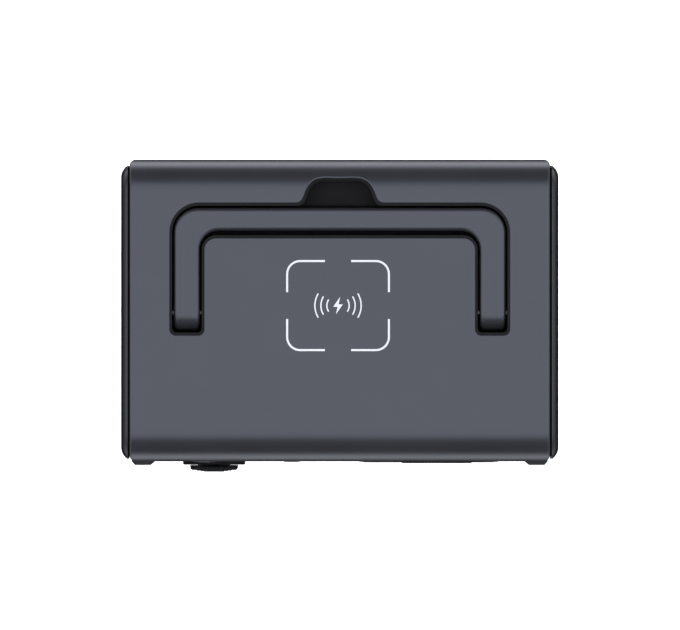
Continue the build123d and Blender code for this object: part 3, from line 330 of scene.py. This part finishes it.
def bar(shape, face, size, low, high, middle=(0, 0)):
    """An upright or level rectangle as a prism."""
    u, v = middle
    half_u, half_v = size[0] / 2, size[1] / 2
    outline = [(u - half_u, v - half_v), (u + half_u, v - half_v),
               (u + half_u, v + half_v), (u - half_u, v + half_v)]
    prism(shape, outline, face, low, high)


def stroke(shape, points, width, face, low, high, closed=False):
    """A line of even width along a route on a face."""
    left, right = [], []
    last = len(points) - 1
    for index, point in enumerate(points):
        before = points[index - 1] if index or closed else point
        after = points[(index + 1) % len(points)] if index < last or closed else point
        along = Vector(after) - Vector(before)
        normal = Vector((-along[1], along[0])).normalized() * width / 2
        left.append(Vector(point) + normal)
        right.append(Vector(point) - normal)
    if closed:
        sections = [[corner(shape, face, *edge, height) for edge in side]
                    for side, height in ((left, low), (left, high), (right, high), (right, low))]
        join_rings(shape, sections, around=True)
    else:
        prism(shape, left + right[::-1], face, low, high)


def arc(radius, start, end, middle=(0, 0), steps=24):
    """Points along an arc, angles in degrees from the face's own across."""
    turns = [math.radians(start + (end - start) * step / steps) for step in range(steps + 1)]
    return [(middle[0] + radius * math.cos(turn), middle[1] + radius * math.sin(turn)) for turn in turns]


def rounded(width, height, radius, steps=8):
    """Points round a rectangle with round corners."""
    points = []
    for quarter, (side_u, side_v) in enumerate(((1, 1), (-1, 1), (-1, -1), (1, -1))):
        middle = (side_u * (width / 2 - radius), side_v * (height / 2 - radius))
        points += arc(radius, 90 * quarter, 90 * quarter + 90, middle, steps)
    return points


def bezel(shape, face, size, radius, profile, steps=8):
    """A frame round an opening: profile is (inset from the outer edge, height) points, closed."""
    rings = []
    for inset, height in profile:
        outline = rounded(size[0] - 2 * inset, size[1] - 2 * inset, max(radius - inset, 0.05), steps)
        rings.append([corner(shape, face, u, v, height) for u, v in outline])
    join_rings(shape, rings, around=True)


def turned(shape, face, profile, steps=48):
    """A ring turned about a face's middle: profile is (radius, height) points, closed."""
    rings = [[corner(shape, face, u, v, height) for u, v in arc(radius, 0, 360, steps=steps)[:-1]]
             for radius, height in profile]
    join_rings(shape, rings, around=True)


def dome(shape, face, radius, height, middle=(0, 0), sink=0.2, rings=5, steps=20):
    """A low round dome standing on a face."""
    loops = []
    rises = [math.radians(90 * level / rings) for level in range(rings)]
    levels = [(radius, -sink)] + [(radius * math.cos(rise), height * math.sin(rise)) for rise in rises]
    for reach, level in levels:
        outline = arc(reach, 0, 360, middle, steps)[:-1]
        loops.append([corner(shape, face, u, v, level) for u, v in outline])
    join_rings(shape, loops)
    shape.faces.new(loops[0])
    shape.faces.new(loops[-1])


def finish_piece(name, shape, material, body, smooth=False):
    """Turns a finished shape into an object that rides on a body and takes its finish from a slot."""
    bmesh.ops.recalc_face_normals(shape, faces=shape.faces)
    mesh = bpy.data.meshes.new(name)
    shape.to_mesh(mesh)
    shape.free()
    mesh.materials.append(material)
    if smooth:
        mesh.shade_smooth()
        mesh.set_sharp_from_angle(angle=math.radians(35))
    piece = bpy.data.objects.new(name, mesh)
    bpy.context.scene.collection.objects.link(piece)
    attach(piece, body)
    return piece


# Printed pictograms ----------------------------------------------------------------------------
PRINT = (-0.02, 0.05)  # the ink's lowest and highest level on its face
LINE = 0.55


def power_sign(shape, face, size):
    """A ring open at the top with a stroke in the gap."""
    stroke(shape, arc(size, 125, 415), LINE, face, *PRINT)
    bar(shape, face, (LINE, size), *PRINT, middle=(0, size * 0.75))


def wave_sign(shape, face, size):
    """One period of a sine wave."""
    steps = 24
    points = [
        (size * (2 * step / steps - 1), size * 0.45 * math.sin(2 * math.pi * step / steps))
        for step in range(steps + 1)
    ]
    stroke(shape, points, LINE, face, *PRINT)


def direct_sign(shape, face, size):
    """A long line over three short ones."""
    bar(shape, face, (2 * size, LINE), *PRINT, middle=(0, size * 0.28))
    for place in (-1, 0, 1):
        bar(shape, face, (size * 0.45, LINE), *PRINT, middle=(place * size * 0.77, -size * 0.28))


def lamp_sign(shape, face, size):
    """A bulb with rays."""
    stroke(shape, arc(size * 0.5, -55, 235), LINE * 0.8, face, *PRINT)
    for level in (-0.62, -0.85):
        bar(shape, face, (size * 0.45, LINE * 0.7), *PRINT, middle=(0, size * level))
    for turn in (0, 45, 90, 135, 180):
        ray = [arc(reach * size, turn, turn, steps=1)[0] for reach in (0.75, 1.05)]
        stroke(shape, ray, LINE * 0.7, face, *PRINT)


def plug_sign(shape, face, size):
    """A plug seen from the side: two blades, a body and its tail."""
    for place in (-1, 1):
        bar(shape, face, (LINE, size * 0.5), *PRINT, middle=(place * size * 0.28, size * 0.65))
    prism(shape, arc(size * 0.6, 180, 360, (0, size * 0.35)), face, *PRINT)
    bar(shape, face, (LINE, size * 0.6), *PRINT, middle=(0, -size * 0.5))


def loop_sign(shape, face, size):
    """A turned arrow, for the reset."""
    stroke(shape, arc(size, 60, 350), LINE * 0.8, face, *PRINT)
    tip = arc(size, 20, 20, steps=1)[0]
    prism(shape, [(tip[0] - 1.1, tip[1] + 0.2), (tip[0] + 1.0, tip[1] + 0.3), (tip[0] - 0.2, tip[1] + 1.5)],
          face, *PRINT)


def ring_sign(shape, face, size):
    """A ring round a dot, for a round socket."""
    stroke(shape, arc(size, 0, 360)[:-1], LINE * 0.8, face, *PRINT, closed=True)
    prism(shape, arc(size * 0.3, 0, 360, steps=12)[:-1], face, *PRINT)


# Front panel -----------------------------------------------------------------------------------
PANEL = face_of("front_panel", "front")

# Sizes of the added pieces, in millimetres
KEY_FLANGE = 0.95  # from the box of a key to the hole that it stands in
GROUP_MARGIN = 4.0
GROUP_RADIUS = 7.0
SOCKET_PROUD = 2.5  # the car socket's face over the panel's
CAP_PROUD = 5.6  # the cap's face over the panel's
GAUGE_RADIUS = 10.6
# The near-black sheet in each cover seam, drawn as a foam seal, paints shade there
SEAM_SHEET_INSET = (0.5, 1.6)
SEAM_SHEET_RADIUS = 16.5
SEAM_WIDTH = 1.18
MESH_SIZE = (60, 62)
MESH_PITCH = 1.6
MESH_WIRE = 0.35
SEAM_SHEET_BREADTH = 3
SEAM_SHEET_GAP = 0.02  # between the seam's painted-shade sheet and the shells
OUTLET_RIM = (33.5, 33.5)
OUTLET_RIM_RADIUS = 5.5
BLADE_OFFSET = 6.35  # of each blade slot from an outlet's middle
BLADE_RISE = 3
EARTH_DROP = 8.5
LEAF_OFFSET = 0.85
LEAF_SIZE = (0.35, 7.8)
REFLECTOR_SIZE = (36.4, 14.2)
LED_PLACES = (-12, -4, 4, 12)
SIDE_FIGURES = 21  # of the figures beside the gauge from its middle
DC_INPUT_HOLE = 6.1
RESET_HOLE = 4.1
LABEL_SIZE = (70, 36)
LABEL_LINE = (66, 32)
LABEL_PROUD = 0.12


def on_panel(*names):
    """The front panel's face, centred on the box round some nodes, with that box's size in millimetres."""
    boxes = [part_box(name) for name in names]
    low = Vector([min(box[0][axis] for box in boxes) for axis in range(3)])
    high = Vector([max(box[1][axis] for box in boxes) for axis in range(3)])
    middle = (low + high) / 2
    face = PANEL._replace(origin=Vector((middle.x, PANEL.origin.y, middle.z)))
    return face, ((high.x - low.x) / MM, (high.z - low.z) / MM)


def key_marks():
    """A pictogram on each key, pressed in with it."""
    signs = {
        "power_button": (power_sign, 3.2),
        "dc_button": (direct_sign, 2.5),
        "ac_button": (wave_sign, 3.0),
        "lamp_button": (lamp_sign, 2.6),
    }
    for node, (sign, size) in signs.items():
        shape = bmesh.new()
        sign(shape, face_of(node, "front"), size)
        finish_piece(f"{node}_mark", shape, white_print, KEYS[node])


def key_rings():
    """A thin polished ring in the panel round each key."""
    for node in KEYS:
        shape = bmesh.new()
        face, _ = on_panel(node)
        low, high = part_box(node)
        hole = (high.x - low.x) / MM / 2 - KEY_FLANGE
        turned(shape, face, [(hole + 1.0, -0.1), (hole + 0.9, 0.25), (hole + 0.5, 0.4),
                             (hole + 0.1, 0.2), (hole, -0.1)])
        finish_piece(f"{node}_ring", shape, bezel_black, "body", smooth=True)


def panel_print():
    """Printed outlines round the two groups of outputs, and a pictogram at each kind of port."""
    shape = bmesh.new()
    groups = (("car_socket", "dc_button", *DC_JACKS), ("ac_button", *OUTLETS))
    whole, (_, height) = on_panel(*groups[0], *groups[1])
    for names in groups:
        face, (width, _) = on_panel(*names)
        level = face._replace(origin=Vector((face.origin.x, face.origin.y, whole.origin.z)))
        outline = rounded(width + 2 * GROUP_MARGIN, height + 2 * GROUP_MARGIN, GROUP_RADIUS)
        stroke(shape, outline, LINE, level, *PRINT, closed=True)
    for node, across, up, sign, size in (
        ("socket_contact", 0, 23.5, direct_sign, 2.6),
        ("dc_jack_left", 10, 0, ring_sign, 1.9),
        ("ac_outlet_left", 21.5, 26, plug_sign, 3.0),
    ):
        face, _ = on_panel(node)
        sign(shape, moved(face, across, up), size)
    for node, size in ((USB_A[0], (3.6, 1.6)), (USB_A[1], (3.6, 1.6)), ("usb_c_port", (3.2, 1.2))):
        face, _ = on_panel(node)
        outline = rounded(*size, size[1] / 2 if node == "usb_c_port" else 0.3)
        stroke(shape, outline, 0.3, moved(face, 12, 0), *PRINT, closed=True)
    finish_piece("panel_print", shape, white_print, "body")


def port_frames():
    """Gloss frames round the display and the lamp, and raised rims on the outlets."""
    shape = bmesh.new()
    face, (width, height) = on_panel("display_window")
    bezel(shape, face, (width + 3.8, height + 3.8), 4.6,
          [(0, -0.1), (0, 0.2), (0.35, 0.5), (1.4, 0.5), (1.8, 0.2), (1.8, -0.1)])
    finish_piece("display_bezel", shape, bezel_black, "body", smooth=True)
    shape = bmesh.new()
    face, (width, height) = on_panel("lamp_lens")
    bezel(shape, face, (width + 0.7, height + 0.7), height / 2 + 0.35,
          [(0, -0.1), (0, 0.9), (0.5, 1.4), (1.2, 1.62), (2.8, 1.62), (3.2, 1.52), (3.2, 1.3), (0.6, -0.1)], 12)
    finish_piece("lamp_bezel", shape, black_plastic, "body", smooth=True)
    for node in OUTLETS:
        shape = bmesh.new()
        bezel(shape, face_of(node, "front"), OUTLET_RIM, OUTLET_RIM_RADIUS,
              [(0, -0.1), (0.15, 0.3), (0.5, 0.4), (0.9, 0.4), (1.3, 0.25), (1.5, -0.1)])
        finish_piece(f"{node}_rim", shape, outlet_black, "body", smooth=True)


def outlet_contacts():
    """Pairs of brass leaves in the blade slots and a brass sleeve in the earth hole."""
    for node in OUTLETS:
        shape = bmesh.new()
        face = face_of(node, "front")
        for slot_side in (-1, 1):
            for leaf in (-1, 1):
                place = (slot_side * BLADE_OFFSET + leaf * LEAF_OFFSET, BLADE_RISE)
                bar(shape, face, LEAF_SIZE, -12, -2.4, place)
        turned(shape, moved(face, 0, -EARTH_DROP), [(2.65, -12), (2.65, -2.4), (2.3, -2.4), (2.3, -12)], 24)
        finish_piece(f"{node}_contacts", shape, brass, "body")


def port_insides():
    """Plastic tongues with gold strips in the data ports, and sleeves in the round sockets."""
    for node in USB_A:
        face = face_of(node, "front")
        shape = bmesh.new()
        bar(shape, face, (11.5, 2.15), -13.2, -0.9, (0, 0.95))
        finish_piece(f"{node}_tongue", shape, white_plastic, "body")
        shape = bmesh.new()
        for place in (-3.5, -1.2, 1.2, 3.5):
            bar(shape, face, (1.0, 0.15), -9, -1.6, (place, -0.18))
        finish_piece(f"{node}_contacts", shape, gold, "body")
    face = face_of("usb_c_port", "front")
    shape = bmesh.new()
    bar(shape, face, (6.8, 0.95), -13.2, -0.9)
    finish_piece("usb_c_tongue", shape, black_plastic, "body")
    shape = bmesh.new()
    for number in range(10):
        for level in (-0.5, 0.5):
            bar(shape, face, (0.3, 0.08), -6, -1.4, (0.6 * (number - 4.5), level))
    finish_piece("usb_c_contacts", shape, gold, "body")
    for node in DC_JACKS:
        shape = bmesh.new()
        turned(shape, face_of(node, "front"), [(2.84, -8), (2.84, -0.3), (2.55, -0.3), (2.55, -8)], 32)
        finish_piece(f"{node}_sleeve", shape, nickel, "body")
    shape = bmesh.new()
    mouth = moved(on_panel("socket_contact")[0], out=SOCKET_PROUD)
    turned(shape, mouth, [(10.43, -3.4), (10.43, -30), (10.2, -30), (10.2, -13), (9.9, -12), (10.2, -11),
                          (10.2, -8), (9.9, -7), (10.2, -6), (10.2, -3.4)])
    finish_piece("car_socket_sleeve", shape, nickel, "body", smooth=True)


def cap_relief():
    """A raised ring and a small ring sign on the car socket's cap, and grip ribs on its tab."""
    shape = bmesh.new()
    face = moved(on_panel("socket_contact")[0], out=CAP_PROUD)
    turned(shape, face, [(10.4, -0.1), (10.2, 0.3), (9.8, 0.4), (9.4, 0.3), (9.2, -0.1)])
    for number in range(4):
        bar(shape, moved(face, 0, -12.2 - 1.3 * number), (9.6, 0.55), 0.9, 1.0)
    finish_piece("cap_relief", shape, black_plastic, "cap", smooth=True)
    shape = bmesh.new()
    ring_sign(shape, face, 3.2)
    direct_sign(shape, moved(face, 0, 5.6), 1.9)
    finish_piece("cap_mark", shape, white_print, "cap")


def lamp_inside():
    """The lamp's white reflector sheet and its four LEDs."""
    face = face_of("lamp_board", "front")
    shape = bmesh.new()
    bar(shape, face, REFLECTOR_SIZE, -0.78, -0.5)
    finish_piece("lamp_reflector", shape, white_plastic, "body")
    shape = bmesh.new()
    for place in LED_PLACES:
        dome(shape, face, 1.35, 0.5, (place, 0))
    finish_piece("lamp_leds", shape, phosphor, "body", smooth=True)


# Display ---------------------------------------------------------------------------------------
SEGMENT_PLACES = {  # in half widths and half heights of a digit, and whether the segment is upright
    "a": (0, 1, False), "b": (1, 0.5, True), "c": (1, -0.5, True), "d": (0, -1, False),
    "e": (-1, -0.5, True), "f": (-1, 0.5, True), "g": (0, 0, False),
}
DIGITS = {
    "0": "abcdef", "1": "bc", "2": "abged", "3": "abgcd", "4": "fgbc",
    "5": "afgcd", "6": "afgedc", "7": "abc", "8": "abcdefg", "9": "abcdfg",
}
INK = (0.02, 0.14)


def segment(shape, face, middle, length, width, upright):
    """One pointed segment of a digit."""
    half, edge = length / 2, width / 2
    outline = [(-half, 0), (edge - half, edge), (half - edge, edge),
               (half, 0), (half - edge, -edge), (edge - half, -edge)]
    if upright:
        outline = [(v, u) for u, v in outline]
    prism(shape, [(middle[0] + u, middle[1] + v) for u, v in outline], face, *INK)


def number_on(shape, face, text, height, middle):
    """A row of seven-segment digits."""
    half_u, half_v, width = height * 0.27, height / 2, height * 0.12
    for index, figure in enumerate(text):
        start = middle[0] + (index - (len(text) - 1) / 2) * height * 0.82
        for letter in DIGITS[figure]:
            u, v, upright = SEGMENT_PLACES[letter]
            length = (half_v if upright else 2 * half_u) - 0.1
            segment(shape, face, (start + u * half_u, middle[1] + v * half_v), length, width, upright)


def display_graphics():
    """A round charge gauge with its figure in the middle, and the power going in and coming out beside it."""
    face = face_of("display_module", "front")
    cells, lit_cells = 24, 20
    lit, charge, unlit = bmesh.new(), bmesh.new(), bmesh.new()
    for cell in range(cells):
        start = 90 - 360 * cell / cells
        route = arc(GAUGE_RADIUS, start - 2, start - 360 / cells + 2, steps=4)
        stroke(charge if cell < lit_cells else unlit, route, 1.7, face, *INK)
    number_on(lit, face, "86", 7.5, (0, 0))
    for side, text in ((-1, "120"), (1, "045")):
        number_on(lit, face, text, 5.6, (side * SIDE_FIGURES, -1.5))
        bar(lit, face, (3.2, 0.8), *INK, middle=(side * SIDE_FIGURES - 1, 6.5))
        prism(lit, [(side * SIDE_FIGURES + 0.4, 5.1), (side * SIDE_FIGURES + 2.6, 6.5), (side * SIDE_FIGURES + 0.4, 7.9)], face, *INK)
        for step in range(5):
            level = step < (3 if side < 0 else 1)
            place = (side * SIDE_FIGURES + (step - 2) * 3, -9.2)
            bar(lit if level else unlit, face, (2.2, 1.3), *INK, middle=place)
    finish_piece("display_figures", lit, screen_lit, "body")
    finish_piece("display_gauge", charge, screen_green, "body")
    finish_piece("display_unlit_cells", unlit, screen_dim, "body")


# Sides and underside ---------------------------------------------------------------------------
def vent_mesh(name, cover, looking):
    """A fine dust mesh in its frame, behind the vent slots."""
    face = face_of(cover, looking)
    low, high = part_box("fan_frame")
    middle = (low + high) / 2
    face = face._replace(origin=Vector((face.origin.x, middle.y, middle.z)))
    shape = bmesh.new()
    width, height = MESH_SIZE
    columns, rows = int(width / MESH_PITCH), int(height / MESH_PITCH)
    for column in range(columns + 1):
        place = (column / columns - 0.5) * width
        bar(shape, face, (MESH_WIRE, height), -3.3, -3.0, (place, 0))
    for row in range(rows + 1):
        place = (row / rows - 0.5) * height
        bar(shape, face, (width, MESH_WIRE), -3.1, -2.8, (0, place))
    bezel(shape, face, (width + 4, height + 4), 3, [(0, -3.6), (0, -2.5), (2.4, -2.5), (2.4, -3.6)])
    finish_piece(name, shape, dark_steel, "body")
    if cover == "left_cover":
        shape = bmesh.new()
        bar(shape, face, (width + 3, height + 3), -4.6, -3.65)
        finish_piece("intake_filter", shape, filter_foam_and_seam_shade, "body")


def shade_the_seams():
    """A near-black sheet in the seam between each cover and the shells, drawn as a foam seal: painted shade."""
    shell_low, shell_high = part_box("top_shell")
    for cover, looking, across in (("left_cover", "left", -1), ("right_cover", "right", 1)):
        low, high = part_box(cover)
        depth, height = (high.y - low.y) / MM, (high.z - low.z) / MM
        face = face_of(cover, looking)
        seam = (high.x - shell_high.x) / MM if across > 0 else (shell_low.x - low.x) / MM
        shape = bmesh.new()
        size = (depth - SEAM_SHEET_INSET[0], height - SEAM_SHEET_INSET[1])
        inner, outer = SEAM_SHEET_GAP - seam, SEAM_WIDTH - seam
        profile = [(0, inner), (0, outer), (SEAM_SHEET_BREADTH, outer), (SEAM_SHEET_BREADTH, inner)]
        bezel(shape, face, size, SEAM_SHEET_RADIUS, profile)
        finish_piece(f"{cover}_seam_shade_sheet", shape, filter_foam_and_seam_shade, "body")


def side_print():
    """A pictogram over each of the three fittings on the left."""
    cover = face_of("left_cover", "left")
    shape = bmesh.new()
    for node, sign, size in (
        ("ac_inlet", wave_sign, 3.2), ("dc_input_jack", direct_sign, 3.0), ("breaker_body", loop_sign, 2.4)
    ):
        low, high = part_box(node)
        place = Vector((cover.origin.x, (low.y + high.y) / 2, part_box("ac_inlet")[1].z))
        sign(shape, moved(cover._replace(origin=place), up=5), size)
    finish_piece("side_print", shape, white_print, "body")


def side_rings():
    """Thin rings round the direct current input and the reset button."""
    cover = face_of("left_cover", "left")
    for name, node, hole in (
        ("dc_input_ring", "dc_input_jack", DC_INPUT_HOLE), ("reset_ring", "reset_button", RESET_HOLE)
    ):
        low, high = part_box(node)
        face = cover._replace(origin=Vector((cover.origin.x, (low.y + high.y) / 2, (low.z + high.z) / 2)))
        shape = bmesh.new()
        turned(shape, face, [(hole + 1.1, -0.4), (hole + 0.9, -0.02), (hole + 0.1, -0.02), (hole, -0.4)])
        finish_piece(name, shape, bezel_black, "body", smooth=True)


def under_plate():
    """A blank label on the underside, in a printed outline."""
    face = face_of("bottom_shell", "under")
    shape = bmesh.new()
    prism(shape, rounded(*LABEL_SIZE, 3), face, -0.1, LABEL_PROUD)
    finish_piece("under_label", shape, panel_black, "body")
    shape = bmesh.new()
    stroke(shape, rounded(*LABEL_LINE, 2), 0.4, moved(face, out=LABEL_PROUD), *PRINT, closed=True)
    finish_piece("under_label_line", shape, white_print, "body")


key_marks()
key_rings()
panel_print()
port_frames()
outlet_contacts()
port_insides()
cap_relief()
lamp_inside()
display_graphics()
vent_mesh("left_vent_mesh", "left_cover", "left")
vent_mesh("right_vent_mesh", "right_cover", "right")
shade_the_seams()
side_print()
side_rings()
under_plate()


# Studio ----------------------------------------------------------------------------------------
FLOOR_GLOW = 1.1
STUDIO_LIGHT = 3.2
BACKDROP = 0.95
STUDIO_TINT = (0.97, 0.985, 1.05, 1)
FRONT_SHARE = 0.62
END_BANDS = [(-90, 0.0), (46, 0.01), (60, 0.7), (90, 0.7)]
LOW_BANDS = [(-90, 0.0), (-50, 0.01), (-37, 0.95), (-18, 0.95), (-7, 0.01)]
SIDE_BANDS = [(-90, 0.0), (-34, 0.0), (-12, 0.12), (5, 0.4), (24, 0.68), (90, 0.7)]


def floor():
    """A pale floor that glows slightly, so that it stays white around the object."""
    mesh = bpy.data.meshes.new("floor")
    shape = bmesh.new()
    bmesh.ops.create_grid(shape, x_segments=1, y_segments=1, size=4)
    shape.to_mesh(mesh)
    shape.free()
    piece = bpy.data.objects.new("floor", mesh)
    bpy.context.scene.collection.objects.link(piece)
    material, tree, shader = new_material("floor_paper")
    grain = object_noise(tree, 300, 3)
    tint = ramp(tree, grain.outputs["Fac"], grey(0.80), grey(0.82))
    tree.links.new(tint.outputs["Color"], shader.inputs["Base Color"])
    shader.inputs["Roughness"].default_value = 0.9
    shader.inputs["Emission Color"].default_value = (1, 1, 1, 1)
    shader.inputs["Emission Strength"].default_value = FLOOR_GLOW
    mesh.materials.append(material)
    piece.visible_diffuse = False
    piece.visible_glossy = False
    piece.visible_shadow = False


def math_node(tree, operation, *values):
    """A Math node fed with sockets or numbers; returns its output."""
    node = tree.nodes.new("ShaderNodeMath")
    node.operation = operation
    for socket, value in zip(node.inputs, values):
        if isinstance(value, (int, float)):
            socket.default_value = value
        else:
            tree.links.new(value, socket)
    return node.outputs[0]


def elevation_bands(tree, height, stops):
    """Light against elevation: stops are (degrees above the horizon, share of the brightest)."""
    scaled = math_node(tree, "MULTIPLY_ADD", height, 0.5, 0.5)
    node = tree.nodes.new("ShaderNodeValToRGB")
    marks = node.color_ramp.elements
    for index, (degrees, level) in enumerate(stops):
        position = (math.sin(math.radians(degrees)) + 1) / 2
        mark = marks[index] if index < 2 else marks.new(position)
        mark.position = position
        mark.color = (level, level, level, 1)
    tree.links.new(scaled, node.inputs["Fac"])
    return node.outputs["Color"]


def studio_light():
    """A studio as light from all round: a softbox overhead, tall ones at the sides, low ones front and back."""
    world = bpy.data.worlds.new("studio")
    world.use_nodes = True
    tree = world.node_tree
    place = tree.nodes.new("ShaderNodeTexCoord")
    parts = tree.nodes.new("ShaderNodeSeparateXYZ")
    tree.links.new(place.outputs["Generated"], parts.inputs[0])
    x, y, z = parts.outputs
    level = math_node(tree, "ADD", math_node(tree, "MULTIPLY", x, x), math_node(tree, "MULTIPLY", y, y))
    lengthwise = math_node(tree, "DIVIDE", math_node(tree, "MULTIPLY", y, y), level)
    behind = math_node(tree, "GREATER_THAN", y, 0.0)
    low_share = math_node(tree, "MULTIPLY_ADD", behind, 1 - FRONT_SHARE, FRONT_SHARE)
    end_light = elevation_bands(tree, z, END_BANDS)
    side_light = elevation_bands(tree, z, SIDE_BANDS)
    low_light = math_node(tree, "MULTIPLY", elevation_bands(tree, z, LOW_BANDS), low_share)
    ends = math_node(tree, "MAXIMUM", end_light, low_light)
    blend = tree.nodes.new("ShaderNodeMix")
    blend.data_type = "FLOAT"
    tree.links.new(lengthwise, blend.inputs[0])
    tree.links.new(side_light, blend.inputs[2])
    tree.links.new(ends, blend.inputs[3])
    seen = tree.nodes.new("ShaderNodeLightPath")
    backdrop = tree.nodes.new("ShaderNodeMix")
    backdrop.data_type = "FLOAT"
    tree.links.new(seen.outputs["Is Camera Ray"], backdrop.inputs[0])
    tree.links.new(math_node(tree, "MULTIPLY", blend.outputs[0], STUDIO_LIGHT), backdrop.inputs[2])
    backdrop.inputs[3].default_value = BACKDROP
    light = tree.nodes["Background"]
    light.inputs["Color"].default_value = STUDIO_TINT
    tree.links.new(backdrop.outputs[0], light.inputs["Strength"])
    bpy.context.scene.world = world
    bpy.context.scene.view_settings.view_transform = "Standard"


floor()
studio_light()

# Camera: straight down, far enough to be flat ---------------------------------------------------
FRAME_WIDTH = 0.3964
CAMERA_PLACE = (0.00015, 0.0004, 1.2)
camera = bpy.data.cameras.new("camera")
camera.type = "ORTHO"
camera.ortho_scale = FRAME_WIDTH
view_point = bpy.data.objects.new("camera", camera)
bpy.context.scene.collection.objects.link(view_point)
view_point.location = CAMERA_PLACE
bpy.context.scene.camera = view_point
